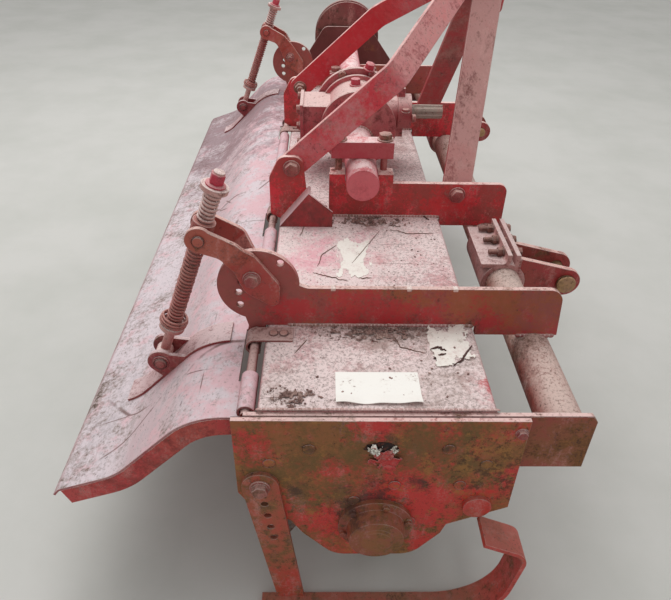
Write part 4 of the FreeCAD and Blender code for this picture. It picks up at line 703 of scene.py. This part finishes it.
def low_dome(radius, tall, dimple=0.0):
    """A low round head with a soft rim, and a dimple in its middle where asked."""
    piece = add_round(32, radius, tall)
    soften(min(tall * 0.7, radius * 0.45), 4)
    bpy.ops.object.mode_set(mode="OBJECT")
    for corner in piece.data.vertices:
        corner.co.z = max(0.0, corner.co.z)
        if dimple and corner.co.z > tall * 0.9:
            corner.co.z -= dimple
    smooth(piece, 60)
    return piece


def seam(material, joint_at=0.921, wide=0.0016):
    """Darkens the joint between the end plates and the side frames inside them."""
    tree, spot = open_up(material)
    out = reckon(tree, "ABSOLUTE", along_axis(tree, spot, "Y"))
    off = reckon(tree, "ABSOLUTE", reckon(tree, "SUBTRACT", out, joint_at))
    joint = between(tree, off, wide, wide * 0.6, 0, 0.9)
    lay(tree, paint_chip(64, 30, 30), 0.9, times(tree, joint, between(tree, level(tree), 0.3, 0.6)))


def crumple(folds, seed, rim_high):
    """The shape of torn sheet metal: an uneven round, folded, its rim bent outwards."""
    def shape(x, y, across, along):
        reach = math.sqrt(across * across + along * along)
        ragged = 0.80 + 0.45 * noise.fractal(Vector((across * 1.6 + seed, along * 1.6, seed)), 0.9, 2.0, 4)
        if reach > min(1.0, ragged):
            return None
        fold = noise.fractal(Vector((across * 1.3, along * 1.3 + seed, seed)), 0.9, 2.0, 2)
        return folds * abs(fold) + rim_high * max(0.0, reach - 0.3)
    return shape


end_paint = old_paint(
    "end_paint", (198, 44, 38), (178, 64, 50), (128, 88, 50), (232, 200, 194), rust_at=0.505, dusty=0.9,
    gloss=0.38, edge_wear_and_highlight=1.0)
red_places = (
    (-207, -930, 192, 0.05), (-121, -930, 22, 0.08), (-73, -930, 150, 0.035), (13, -930, 146, 0.06),
    (75, -930, 45, 0.11), (-36, -930, 226, 0.05), (200, -930, 108, 0.05), (214, -930, 222, 0.03),
    (62, -930, -50, 0.06), (-190, -930, 60, 0.06), (-100, 930, 150, 0.12), (120, 930, 60, 0.12),
)
film(
    end_paint, (146, 94, 56), 0.85, 0.39, [(*place, -0.26) for place in red_places], most=0.90, scale=9,
    upright=True)
film(
    end_paint, (104, 84, 48), 0.9, 0.49, ((-60, -930, 110, 0.14, 0.12), (90, -930, 180, 0.14, 0.12),
    (-190, -930, 130, 0.06, 0.08), (150, -930, 110, 0.10, 0.06), (75, -930, 45, 0.12, -0.2)), most=0.8,
    scale=16, upright=True)
film(
    end_paint, (160, 112, 60), 0.9, 0.545, ((170, -930, 150, 0.10, 0.07),), most=0.7, scale=34, soft=0.06,
    upright=True)
film(
    end_paint, (62, 44, 42), 0.9, 0.60, ((-17, -930, 52, 0.09, 0.30), (-130, -930, 85, 0.045, 0.20),
    (66, -930, 103, 0.04, 0.20), (8, -930, 212, 0.04, 0.22), (-113, -930, 190, 0.02, 0.2),
    (105, -930, 190, 0.02, 0.2), (0, 930, 60, 0.1, 0.2)), most=0.75, scale=30, upright=True)
film(
    end_paint, (66, 42, 30), 0.9, 0.57, ((190, -930, 130, 0.13, 0.08), (20, -930, 110, 0.05, 0.05),
    (120, 930, 120, 0.2, 0.05)), most=0.75, scale=80, soft=0.04, upright=True)
seam(end_paint)
coat_over(end_paint, "end_plate_near", "end_plate_far")
side_paint = old_paint(
    "side_paint", (148, 52, 44), (134, 76, 44), (118, 76, 42), (232, 200, 194), rust_at=0.51, dusty=0.9,
    pushes=((250, -915, 200, 0.10, -0.06), (0, 916, 330, 0.2, -0.05)))
film(
    side_paint, (96, 44, 46), 0.8, 0.46, ((0, 912, 330, 0.45, 0.2), (100, -912, 200, 0.6, -0.3)), most=0.85,
    upright=True)
seam(side_paint)
coat_over(side_paint, "side_frame_near", "side_frame_far")

bolt_paint = old_paint(
    "bolt_paint", (146, 56, 56), (150, 92, 80), (112, 74, 56), (196, 160, 150), rust_at=0.53, dusty=0.75,
    run=(3, 3, 3))
end_plug = low_dome(0.0105, 0.0022, 0.0008)
end_knob = hex_head(0.015, 0.006, 0.0105, 0.0016)
end_face = 930
near_plugs = ((-176, 154), (-113, 188), (105, 188), (169, 152), (26, 101), (-39, 61), (133, 101), (58, 5))
plug_places = [aim(x, -end_face, z, (0, -1, 0)) for x, z in near_plugs]
fit("end_plugs_near", end_plug, plug_places, end_paint)
near_bolts = [aim(212, -end_face, 224, (0, -1, 0), 280)]
fit("end_bolts_near", end_knob, near_bolts, bolt_paint)
far_bolts = ((-200, 222), (203, 222), (-176, 152), (169, 152))
far_bolts = [aim(x, end_face, z, (0, 1, 0), 20 * x) for x, z in far_bolts]
fit("end_bolts_far", end_knob, far_bolts, bolt_paint)

torn_metal = start_finish("torn_metal", paint_chip(232, 230, 220), 0.34, 0.55)
tree, spot = open_up(torn_metal)
scuffs = mottled(tree, spot, (60, 9, 0.75), (240, 4, 0.7))
lay(tree, paint_chip(120, 104, 96), 0.6, between(tree, scuffs, 0.50, 0.56))
lay(tree, paint_chip(170, 48, 50), 0.5, between(tree, scuffs, 0.44, 0.40))
emboss(tree, Strength=0.8, Distance=0.002, Height=scuffs)
crumpled = old_paint(
    "crumpled", (188, 44, 44), (182, 70, 60), (140, 86, 48), (214, 140, 128), rust_at=0.56, dusty=0.5,
    edge_wear_and_highlight=0.5, run=(3, 3, 3))
# A dark sheet painted as the shade inside the torn hole, flecked with brown.
hole_shade = start_finish("hole_shade", paint_chip(34, 22, 20), 0.9)
tree, spot = open_up(hole_shade)
lay(tree, paint_chip(88, 46, 36), 0.9, between(tree, cloud(tree, spot, 120, 8, 0.7), 0.50, 0.60))
for name, x, z, size, shape, material in (
    ("tear_hole_near", -2, 188, (0.060, 0.040), crumple(0.0004, 2.0, 0.0), hole_shade),
    ("tear_red_rim_near", 8, 160, (0.060, 0.044), crumple(0.0070, 6.0, 0.0020), crumpled),
    ("tear_bright_near", -11, 190, (0.030, 0.026), crumple(0.0100, 3.0, 0.0025), torn_metal),
    ("tear_flake_near", 19, 188, (0.015, 0.024), crumple(0.0050, 8.0, 0.0030), torn_metal),
    ("tear_crumple_near", 6, 176, (0.040, 0.024), crumple(0.0080, 11.0, 0.0020), crumpled),
):
    place = aim(x, -end_face - 0.2, z, (0, -1, 0))
    put(torn_sheet(name, size, (46, 38), shape, place, material, 0.0007, degrees=25), "frame")


# The long braces: two upright plates welded to the deck, each ending in a round head with
# spare holes for the spring arms. A bolt through each head holds its pair of arms.
brace_paint = old_paint(
    "brace_paint", (176, 50, 54), (152, 74, 64), (126, 82, 60), (232, 198, 190), rust_at=0.555, dusty=0.9,
    edge_wear_and_highlight=1.0, pushes=((250, -702, 300, 0.14, 0.09), (-203, -702, 335, 0.12, 0.07),
    (40, -702, 320, 0.12, 0.05), (60, -702, 270, 0.16, -0.05), (-80, -702, 290, 0.12, -0.04),
    (-203, 702, 335, 0.12, 0.05)))
film(
    brace_paint, (164, 90, 60), 0.85, 0.48, ((-60, -702, 335, 0.09, 0.08), (60, -702, 335, 0.07, 0.10),
    (180, -702, 335, 0.07, 0.10), (290, -702, 300, 0.10, 0.11), (-190, -702, 330, 0.12, -0.10),
    (0, -702, 265, 0.14, -0.10), (100, 702, 330, 0.12, 0.08)), most=0.85, scale=18, soft=0.09, upright=True)
film(
    brace_paint, (152, 82, 76), 0.8, 0.44, ((-203, -702, 345, 0.11, 0.20), (-203, 702, 335, 0.11, 0.20),
    (60, -702, 300, 0.3, -0.12)), most=0.85, scale=22, soft=0.12, upright=True)
film(
    brace_paint, (188, 40, 46), 0.5, 0.55, ((-40, -702, 280, 0.12, 0.12), (60, -702, 275, 0.12, 0.10),
    (200, -702, 262, 0.08, 0.12), (-150, -702, 285, 0.06, 0.14), (0, 702, 280, 0.2, 0.10)), most=0.75,
    scale=24, soft=0.09, upright=True)
coat_over(brace_paint, "brace_near", "brace_far")
arm_paint = old_paint(
    "arm_paint", (170, 66, 60), (172, 88, 72), (134, 80, 58), (232, 194, 184), rust_at=0.56, dusty=0.9,
    edge_wear_and_highlight=1.0)
coat_over(arm_paint, "arms_near", "arms_far")

runs = []
for side in (-1, 1):
    for face in (-5, 5):
        y = side * brace_y + face
        runs += along_run((-150, y, 253), (172, y, 253), (0, math.copysign(1, face), 1))
        runs += along_run((262, y, 232), (322, y, 232), (0, math.copysign(1, face), 0.6))
fit("brace_welds", ripple, runs, bead_paint)

scrap = start_mesh(bpy.ops.mesh.primitive_cube_add, size=1, location=(0, 0, 0))
bpy.ops.transform.resize(value=(0.009, 0.0116, 0.006), center_override=(0, 0, 0))
soften(0.0016, 3)
close_mesh(scrap, 60)
scraps = [Matrix.Translation(from_axle(x, -brace_y, 329)) for x in (-75, 56, 136)]
chalk_paint = old_paint(
    "chalk_paint", (214, 170, 160), (224, 190, 180), rust_tone, (240, 222, 214), rust_at=0.62, dusty=0.95,
    run=(2, 2, 2))
fit("brace_weld_stubs", scrap, scraps, chalk_paint)

arm_bolt = hex_head(0.022, 0.009, 0.0155, 0.0026)
arm_nut = hex_head(0.022, 0.012, 0.0155, 0.0026, 0.006)
fit("arm_bolt_heads", arm_bolt, on_both(-212, 710, 355, 12), bolt_paint)
fit("arm_bolt_nuts", arm_nut, on_both(-212, 684, 355, 25, -1), bolt_paint)


# The hinge of the rear shield: a rod through straps along the deck's rear edge. The straps
# are bent flat bars, pale with dust on top and dark where they curl over the rod.
hinge_paint = old_paint(
    "hinge_paint", (128, 60, 56), (144, 92, 82), (104, 70, 54), (206, 176, 170), rust_at=0.52, dusty=0.85)
coat_over(hinge_paint, "hinge_rod", "hinge_straps")
strap_rivet = low_dome(0.008, 0.0035)
rivets = [aim(x, y, 256, (0, 0, 1)) for y in (-732, -262, 262, 732) for x in (-178, -160)]
fit("strap_rivets", strap_rivet, rivets, bolt_paint)


# The rear shield: a bent sheet with a rolled front edge, folded end rims and two rod feet.
# It is pale with dust and scratched along its slope. It turns darker towards its tail, and its far half is
# grimy.
shield_paint = old_paint(
    "shield_paint", (158, 70, 76), (186, 140, 140), (146, 100, 86), (218, 206, 210), rust_at=0.60,
    dusty=0.95, run=(1.0, 0.6, 1.0), specks=0.6, bare=(0.67, 0.56))
tree, spot = open_up(shield_paint)
top_only = between(tree, level(tree), 0.2, 0.5)
ahead = along_axis(tree, spot, "X")
height = along_axis(tree, spot, "Z")
rosy = plus(tree, between(tree, ahead, -0.34, -0.20, 0, 0.11), cloud(tree, spot, 20, 9, 0.7))
rosy = times(tree, between(tree, rosy, 0.52, 0.64, 0, 0.7), top_only)
lay(tree, paint_chip(220, 172, 178), 0.6, rosy)
# Brown patches on the upward faces, more of them towards the bottom of the shield, darker in their middles.
darker_low = mottled(tree, spot, (11, 10, 0.72), (120, 6, 0.7), 0.55)
darker_low = plus(tree, between(tree, height, 0.36, 0.22, 0, 0.13), darker_low)
darker_low_cover = times(tree, between(tree, darker_low, 0.54, 0.66, 0, 0.9), top_only)
lay(tree, paint_chip(134, 116, 106), 0.95, darker_low_cover)
lay(tree, paint_chip(78, 60, 52), 0.95, times(tree, darker_low_cover, between(tree, darker_low, 0.62, 0.70)))
long_marks = scored(tree, spot, (1.3, 4.6, 2), 8, 0.007, 0.53, 0.60)
cross_marks = scored(tree, spot, (3.4, 0.9, 3), -22, 0.005, 0.57, 0.64)
marks = times(tree, reckon(tree, "MAXIMUM", long_marks, cross_marks), 0.8)
lay(tree, paint_chip(104, 70, 62), 0.8, marks)
film(
    shield_paint, (128, 98, 102), 0.9, 0.60, ((-330, 640, 100, 0.72, 0.30), (-330, 980, 60, 0.50, 0.12),
    (-220, 980, 240, 0.50, -0.10)), most=0.75, scale=9)
coat_over(shield_paint, "rear_shield")
rim_paint = old_paint(
    "rim_paint", (186, 52, 52), (182, 76, 66), rust_tone, (216, 170, 164), rust_at=0.585, dusty=0.8,
    edge_wear_and_highlight=1.0)
film(rim_paint, (126, 46, 40), 0.7, 0.47, (), most=0.7, scale=24)
coat_over(rim_paint, "shield_rims")
foot_paint = old_paint(
    "foot_paint", (138, 46, 50), (150, 72, 68), rust_tone, (214, 190, 190), rust_at=0.57, dusty=0.95,
    edge_wear_and_highlight=1.0)
coat_over(foot_paint, "rod_foot_near", "rod_foot_far")

foot_pin = low_dome(0.0115, 0.007)
foot_ring = low_dome(0.0150, 0.0022)
pins, rings = [], []
for y in (-brace_y, brace_y):
    for hand in (-1, 1):
        rings.append(aim(-385, y + hand * 27, 182, (0, hand, 0)))
        pins.append(aim(-385, y + hand * 28.5, 182, (0, hand, 0)))
fit("foot_pin_heads", foot_pin, pins, bolt_paint, "shield")
fit("foot_pin_washers", foot_ring, rings, foot_paint, "shield")


# The spring rods: each slides through a swivel block between its two arms, with a spring
# below and a spring above the block, washers at their ends and a nut at the top.
rod_way = Vector((0.350, 0, 0.937)).normalized()
spring_paint = old_paint(
    "spring_paint", (156, 66, 60), (160, 88, 78), (116, 68, 54), (206, 156, 146), rust_at=0.54, dusty=0.55,
    run=(3, 3, 3))
washer_paint = old_paint(
    "washer_paint", (176, 104, 100), (206, 160, 152), rust_tone, (232, 212, 206), rust_at=0.58, dusty=0.95,
    run=(2, 2, 2))
nut_paint = old_paint(
    "nut_paint", (186, 36, 60), (190, 64, 80), rust_tone, (226, 176, 176), rust_at=0.62, dusty=0.6,
    edge_wear_and_highlight=0.5, run=(3, 3, 3))
coat_over(washer_paint, "spring_rod_near", "spring_rod_far")
coat_over(spring_paint, "swivel_near", "swivel_far")


def coil(name, foot, length, turns, closed, radius, wire, material, flare=0.0):
    """A spring of round wire along the rod; its end turns lie close, and may flare outwards."""
    steps = 20
    pitch = (length - wire - 2 * closed * wire) / (turns - 2 * closed)
    across = rod_way.cross(Vector((0, 1, 0))).normalized()
    run = []
    for step in range(turns * steps + 1):
        turn = step / steps
        height = wire / 2 + min(turn, closed) * wire + max(0.0, turn - turns + closed) * wire
        height += (min(max(turn, closed), turns - closed) - closed) * pitch
        wide = radius + flare * math.sin(math.pi * min(1, turn / turns)) + 0.0004 * math.sin(turn * 2.3)
        side = across * math.cos(math.tau * turn) + Vector((0, 1, 0)) * math.sin(math.tau * turn)
        run.append((foot + rod_way * height + side * wide, 1.0))
    return drawn_wire(name, [run], wire / 2, 2, material)


swivel_bolt = low_dome(0.0098, 0.0060, 0.0008)
rod_nut = hex_head(0.021, 0.018, 0.0165, 0.003)
for side, y in (("near", -brace_y), ("far", brace_y)):
    eye = from_axle(-385, y, 182)
    low_foot = eye + rod_way * 0.0722
    low = coil("coil_low_" + side, low_foot, 0.1812, 26, 1.5, 0.01225, 0.0045, spring_paint)
    put(low, "rod_" + side)
    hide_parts("low_spring_" + side)
    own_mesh(low)
    loose_foot = eye + rod_way * 0.0725
    loose = coil("coil_loose_" + side, loose_foot, 0.020, 3, 0.5, 0.0205, 0.0042, spring_paint, 0.003)
    put(loose, "rod_" + side)
    top = coil("coil_top_" + side, eye + rod_way * 0.2945, 0.0570, 8, 1, 0.01225, 0.0045, washer_paint)
    put(top, "swivel_" + side)
    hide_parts("top_spring_" + side)
    nut_place = facing(eye + rod_way * 0.3602, rod_way, 10)
    fit("rod_nut_" + side, rod_nut, [nut_place], nut_paint, "rod_" + side)
    pivots = [aim(-289, y + hand * 33, 439, (0, hand, 0), 15) for hand in (-1, 1)]
    fit("swivel_bolts_" + side, swivel_bolt, pivots, arm_paint)


# The mast: foot plates on the cross tube and front tube, an upright and a rear stay on each
# side, and two cheeks that meet at the top link hole. Flat bars, bolted and welded.
stay_paint = old_paint(
    "stay_paint", (208, 60, 72), (202, 104, 108), rust_tone, (240, 206, 198), rust_at=0.615, dusty=0.95,
    edge_wear_and_highlight=1.0, run=(0.8, 1, 0.8), pushes=((-130, -285, 420, 0.22, 0.02), (0, -283, 560, 0.10, 0.02),
    (212, -277, 309, 0.08, 0.05)))
tree, spot = open_up(stay_paint)
chalk = mottled(tree, spot, (12, 9, 0.7), (90, 6, 0.7))
rubbed = plus(tree, chalk, times(tree, near_to(tree, spot, (-20, -283, 550), 0.26), 0.07))
lay(tree, paint_chip(208, 134, 136), 0.6, between(tree, rubbed, 0.53, 0.66, 0, 0.8))
film(stay_paint, (176, 122, 104), 0.8, 0.56, ((0, -283, 500, 0.12, 0.05),), most=0.7, scale=60, upright=True)
film(
    stay_paint, (206, 30, 40), 0.45, 0.50, ((-60, 283, 520, 0.30, 0.20), (0, 283, 640, 0.20, 0.20)),
    most=0.7, scale=14, upright=True)
upright_paint = old_paint(
    "upright_paint", (156, 74, 72), (164, 106, 98), rust_tone, (240, 206, 198), rust_at=0.60, dusty=0.95,
    edge_wear_and_highlight=1.0, run=(1, 1, 0.5), specks=0.4)
film(upright_paint, (170, 122, 112), 0.8, 0.50, (), most=0.7, scale=30, upright=True)
film(
    upright_paint, (184, 52, 58), 0.5, 0.50, ((205, -271, 345, 0.10, 0.20), (205, 271, 345, 0.4, 0.10)),
    most=0.75, scale=24, upright=True)
coat_over(stay_paint, "rear_stay_near", "rear_stay_far", "top_link_head")
coat_over(upright_paint, "upright_near", "upright_far")
foot_plate_paint = old_paint(
    "foot_plate_paint", (216, 50, 60), (178, 66, 64), (126, 82, 62), (236, 204, 196), rust_at=0.56,
    dusty=0.95, edge_wear_and_highlight=1.0, pushes=((250, -289, 300, 0.12, -0.05), (30, -289, 300, 0.12, 0.05),
    (-140, -289, 320, 0.10, 0.06)))
film(
    foot_plate_paint, (150, 66, 58), 0.8, 0.48, ((100, -289, 320, 0.12, 0.08), (300, -289, 320, 0.07, 0.12),
    (-180, -301, 360, 0.08, 0.08), (200, -289, 290, 0.08, -0.10)), most=0.75, scale=18, soft=0.07,
    upright=True)
film(
    foot_plate_paint, (206, 30, 38), 0.45, 0.54, ((180, -289, 280, 0.10, 0.12),
    (60, -289, 290, 0.06, 0.05)), most=0.7, scale=24, soft=0.09, upright=True)
film(foot_plate_paint, (206, 136, 126), 0.8, 0.585, (), most=0.6, scale=40, soft=0.05, upright=True)
tree, spot = open_up(foot_plate_paint)
sideways = reckon(tree, "ABSOLUTE", along_axis(tree, spot, "Y"))
blotched = between(tree, cloud(tree, spot, 26, 8, 0.7), 0.36, 0.56, 0.95, 0.6)
# Painted shade: the brackets' outer upright faces darkened in blotches.
outer_face_shade = times(tree, between(tree, sideways, 0.328, 0.334), between(tree, level(tree), 0.5, 0.2))
lay(tree, paint_chip(114, 52, 50), 0.8, times(tree, outer_face_shade, blotched))
# The top of the fold made paler in blotches.
fold_top = times(tree, between(tree, sideways, 0.302, 0.305), between(tree, level(tree), 0.2, 0.5))
lay(tree, paint_chip(196, 168, 172), 0.7, times(tree, fold_top, blotched))
coat_over(foot_plate_paint, "mast_foot_near", "mast_foot_far", "stay_bracket_near", "stay_bracket_far")

mast_bolt = hex_head(0.027, 0.011, 0.0190, 0.0032)
mast_nut = hex_head(0.027, 0.014, 0.0190, 0.0032, 0.008)
heads = on_both(212, 289, 309, 20) + on_both(-163, 301, 374, 8)
nuts = on_both(212, 265, 309, 5, -1) + on_both(-163, 277, 374, 17, -1)
fit("mast_bolt_heads", mast_bolt, heads, bolt_paint)
fit("mast_bolt_nuts", mast_nut, nuts, bolt_paint)
runs = []
for side in (-1, 1):
    for face in (-6, 6):
        y = side * mast_y + face
        runs += along_run((-76, y, 253), (172, y, 253), (0, math.copysign(1, face), 1))
fit("mast_foot_welds", ripple, runs, bead_paint)


# The gearbox: a cast drum with a box and lid behind it and a bearing cap round the input.
# Rough castings, red under pale dust, with bolts round the flange and on the lid.
cast_paint = old_paint(
    "cast_paint", (172, 60, 70), (184, 104, 104), (116, 76, 62), (224, 196, 190), rust_at=0.585, dusty=0.9,
    gloss=0.36, bare=(0.62, 0.52))
coat_over(cast_paint, "gearbox", "input_cap")
box_bolt = hex_head(0.017, 0.007, 0.0105, 0.0016)
places = []
for step in range(8):
    angle = math.radians(22.5 + 45 * step)
    x, z = -7 + 101 * math.cos(angle), 380 + 101 * math.sin(angle)
    if z > 300 and not (x < -60 and 326 < z < 436):
        places.append(aim(x, 64, z, (0, -1, 0), 30 * step))
        places.append(aim(x, 78, z, (0, 1, 0), 30 * step))
for y in (-52, 52):
    for z in (338, 380, 422):
        places.append(aim(-152, y, z, (-1, 0, 0), z))
for hand in (-1, 1):
    places.append(aim(128, hand * 52, 402, (1, 0, 0), 10))
    places.append(aim(111, hand * 52, 417, (0, 0, 1), 20))
fit("gearbox_bolts", box_bolt, places, bolt_paint)
fill_plug = hex_head(0.022, 0.014, 0.0150, 0.0030)
plugs = [aim(-14, 2, 465, (0, 0, 1), 12), aim(22, 60, 488, (0.25, -0.2, 1), 40)]
fit("gearbox_plugs", fill_plug, plugs, nut_paint)


# The cross tubes carry the drive to the side; clamps hold them on the mast's feet with two
# long studs each.
cross_paint = old_paint(
    "cross_paint", (212, 76, 96), (226, 148, 154), rust_tone, (240, 214, 212), rust_at=0.62, dusty=0.97)
film(cross_paint, (212, 108, 114), 0.6, 0.50, ((-7, -342, 350, 0.045, 0.5),), most=0.85, scale=30)
film(cross_paint, (174, 74, 78), 0.7, 0.58, ((-7, -342, 340, 0.040, 0.2),), most=0.6, scale=60)
film(
    cross_paint, (170, 58, 64), 0.6, 0.44, ((-7, -259, 400, 0.12, 0.25), (-7, 259, 400, 0.12, 0.25),
    (-7, -342, 350, 0.05, -0.5)), most=0.8, scale=30, upright=True)
coat_over(cross_paint, "cross_tube_near", "cross_tube_far", "tube_clamp_near", "tube_clamp_far")
clamp_bolt = hex_head(0.026, 0.012, 0.0180, 0.0030)
clamp_stud = add_round(20, 0.008, 0.040)
soften(0.0008, 1)
close_mesh(clamp_stud)
heads, studs = [], []
for side in (-1, 1):
    for x in (-59, 43):
        heads.append(aim(x, side * 259, 425, (0, 0, 1), 3 * x))
        studs.append(aim(x, side * 259, 352, (0, 0, 1)))
fit("clamp_bolts", clamp_bolt, heads, bolt_paint)
fit("clamp_studs", clamp_stud, studs, bolt_paint)
runs = round_run((-7, -79, 352), (0, 1, 0), 36.5, -1) + round_run((-7, 79, 352), (0, 1, 0), 36.5, 1)
fit("cross_tube_welds", ripple, runs, bead_paint)


# The side drive at the far end: a cast case with its bolted cover, and the rotor's bearing
# hub at the near end.
drive_paint = old_paint(
    "drive_paint", (126, 48, 50), (122, 66, 60), (92, 62, 50), (176, 140, 132), rust_at=0.555, dusty=0.7,
    specks=0.9)
coat_over(drive_paint, "side_drive_case", "side_drive_cover")
hub_paint = old_paint(
    "hub_paint", (140, 64, 46), (132, 88, 52), (116, 82, 46), (150, 96, 72), rust_at=0.49, dusty=0.45,
    edge_wear_and_highlight=0.35)
# Painted shadow: darker round the hub's upper left rim, kept thin on its front disc.
film(
    hub_paint, (62, 44, 38), 0.9, 0.56, ((-46, -940, 42, 0.055, 0.22), (10, -972, -10, 0.06, -0.3)),
    most=0.8, scale=24)
film(hub_paint, (140, 92, 52), 0.8, 0.50, ((0, -972, -6, 0.055, 0.2), (0, -935, 0, 0.03, -0.2)), most=0.7)
coat_over(hub_paint, "bearing_hub")
cover_bolt = hex_head(0.017, 0.007, 0.0105, 0.0016)
hub_bolt = hex_head(0.011, 0.006, 0.0070, 0.0014)
places = []
for step in range(6):
    angle = math.radians(180 + 180 * (step + 0.5) / 6)
    places.append(aim(116 * math.cos(angle), 977, 116 * math.sin(angle), (0, 1, 0), 25 * step))
    x, z = -7 + 112 * math.cos(angle), 352 - 112 * math.sin(angle)
    places.append(aim(x, 977, z, (0, 1, 0), 25 * step))
for x in (-119, 114):
    for z in (90, 180, 265):
        places.append(aim(x, 977, z, (0, 1, 0), z))
hub_places = []
for step in range(6):
    angle = math.radians(60 * step + 15)
    hub_places.append(aim(57 * math.cos(angle), -939, 57 * math.sin(angle), (0, -1, 0), 40 * step))
fit("cover_bolts", cover_bolt, places, bolt_paint)
fit("hub_bolts", hub_bolt, hub_places, hub_paint)


# The lower hitches: bent plates clamped round the front tube with three bolts, two lugs
# each, and a pin through the lugs.
lug_paint = old_paint(
    "lug_paint", (164, 44, 48), (150, 66, 56), (124, 80, 56), (230, 192, 182), rust_at=0.56, dusty=0.85,
    edge_wear_and_highlight=1.0)
rusty_bolt = old_paint(
    "rusty_bolt", (106, 60, 52), (120, 74, 62), (84, 56, 46), (176, 134, 122), rust_at=0.50, dusty=0.5,
    edge_wear_and_highlight=0.4, run=(3, 3, 3))
yoke_paint = old_paint(
    "yoke_paint", (160, 78, 78), (192, 142, 138), rust_tone, (214, 190, 186), rust_at=0.58, dusty=0.95,
    edge_wear_and_highlight=1.0)
coat_over(lug_paint, "hitch_lugs_near", "hitch_lugs_far")
film(yoke_paint, (208, 166, 160), 0.85, 0.48, (), most=0.6, scale=26)
coat_over(yoke_paint, "hitch_yoke_near", "hitch_yoke_far")
yoke_bolt = hex_head(0.019, 0.009, 0.0130, 0.0022)
yoke_nut = hex_head(0.019, 0.011, 0.0130, 0.0022, 0.020)
yoke_stud = add_round(16, 0.006, 0.012)
soften(0.0005, 1)
bpy.ops.object.mode_set(mode="OBJECT")
heads, nuts, studs = [], [], []
for side in (-1, 1):
    for y in (347, 398, 449):
        heads.append(aim(318, side * y, 255, (1, 0, 0), y))
        nuts.append(aim(291, side * y, 255, (-1, 0, 0), 2 * y))
        studs.append(aim(298.5, side * y, 255, (1, 0, 0)))
fit("yoke_bolts", yoke_bolt, heads, rusty_bolt)
fit("yoke_nuts", yoke_nut, nuts, rusty_bolt)
fit("yoke_studs", yoke_stud, studs, rusty_bolt)
pin_paint = old_paint(
    "pin_paint", (176, 136, 88), (170, 132, 96), (140, 98, 60), (206, 170, 130), rust_at=0.56, dusty=0.5,
    specks=0.3, run=(2, 2, 2))
pin = add_round(36, 0.0140, 0.092, -0.088)
soften(0.002)
add_round(36, 0.0205, 0.011, 0.0005, more=True)
soften(0.003, 3)
close_mesh(pin)
fit("hitch_pins", pin, on_both(425, 482, 200), pin_paint)
runs = []
for side in (-1, 1):
    for lug in (404, 416, 470, 482):
        face = -1 if lug in (404, 470) else 1
        runs += along_run((320, side * lug, 253), (320, side * lug, 180), (1, side * face, 0))
fit("lug_welds", ripple, runs, bead_paint)


# The rotor: a tube with welded flanges and curved tines, each held by two bolts. The tines
# are scoured bright at their tips and brown with rust and soil towards their roots.
tine_steel = old_paint(
    "tine_steel", (112, 84, 70), (128, 100, 84), (100, 64, 46), (150, 130, 116), rust_at=0.53, dusty=0.3,
    edge_wear_and_highlight=0.6)
tree, spot = open_up(tine_steel)
from_shaft = add(tree, "VectorMath", {"operation": "MULTIPLY"})
off_axle = add(tree, "VectorMath", {"operation": "SUBTRACT"})
plug(tree, off_axle.inputs[0], spot)
plug(tree, off_axle.inputs[1], from_axle(0, 0, 0))
plug(tree, from_shaft.inputs[0], off_axle.outputs[0])
plug(tree, from_shaft.inputs[1], (1, 0, 1))
out = add(tree, "VectorMath", {"operation": "LENGTH"})
plug(tree, out.inputs[0], from_shaft.outputs[0])
scour = plus(tree, between(tree, out.outputs["Value"], 0.14, 0.22, 0, 0.22), cloud(tree, spot, 40, 8, 0.7))
scour = between(tree, scour, 0.58, 0.68, 0, 0.9)
lay(tree, paint_chip(168, 164, 158), 0.34, scour)
metal = tree.nodes["Principled BSDF"].inputs["Metallic"]
tree.links.new(scour, metal)
coat_over(tine_steel, "rotor_shaft", "tine_flanges")
tine_bolt = hex_head(0.019, 0.009, 0.0125, 0.0020)
tine_nut = hex_head(0.019, 0.011, 0.0125, 0.0020, 0.005)
heads, nuts, runs = [], [], []
for row in range(8):
    y = (2 * row / 7 - 1) * 856
    hands = (1, 1) if row == 0 else (-1, -1) if row == 7 else (1, -1)
    for step in range(6):
        hand = hands[step % 2]
        angle = math.radians(60 * step + 24 * row)
        for radius in (87, 106):
            x, z = radius * math.sin(angle), radius * math.cos(angle)
            heads.append(aim(x, y + hand * 12.5, z, (0, hand, 0), 17 * step))
            nuts.append(aim(x, y - hand * 4.5, z, (0, -hand, 0), 31 * step))
    for face in (-1, 1):
        runs += round_run((0, y + face * 5, 0), (0, 1, 0), 44.8, face, pitch=0.0095)
fit("tine_bolts", tine_bolt, heads, bolt_paint, "rotor")
fit("tine_nuts", tine_nut, nuts, bolt_paint, "rotor")
fit("tine_flange_welds", ripple, runs, tine_steel, "rotor")
shaft_steel = old_paint(
    "shaft_steel", (150, 140, 130), (164, 150, 138), (120, 88, 66), (180, 164, 150), rust_at=0.55,
    dusty=0.4, gloss=0.35)
coat_over(shaft_steel, "input_shaft")


# The skids: flat bars bent up at the front, with a drilled strut at the rear of each and
# bolts through the strut's head and the skid's eye.
skid_paint = old_paint(
    "skid_paint", (188, 58, 50), (158, 82, 56), (126, 86, 54), (160, 110, 92), rust_at=0.525, dusty=0.5,
    edge_wear_and_highlight=0.4)
coat_over(skid_paint, "skid_near", "skid_far", "skid_strut_near", "skid_strut_far")
skid_head = hex_head(0.024, 0.010, 0.0170, 0.0030)
fit("strut_bolts", skid_head, on_both(-192, 938, 104, 15), bolt_paint)


# The models of the small parts have served their turn, so only their copies stay.
for model in models:
    bpy.data.objects.remove(model)
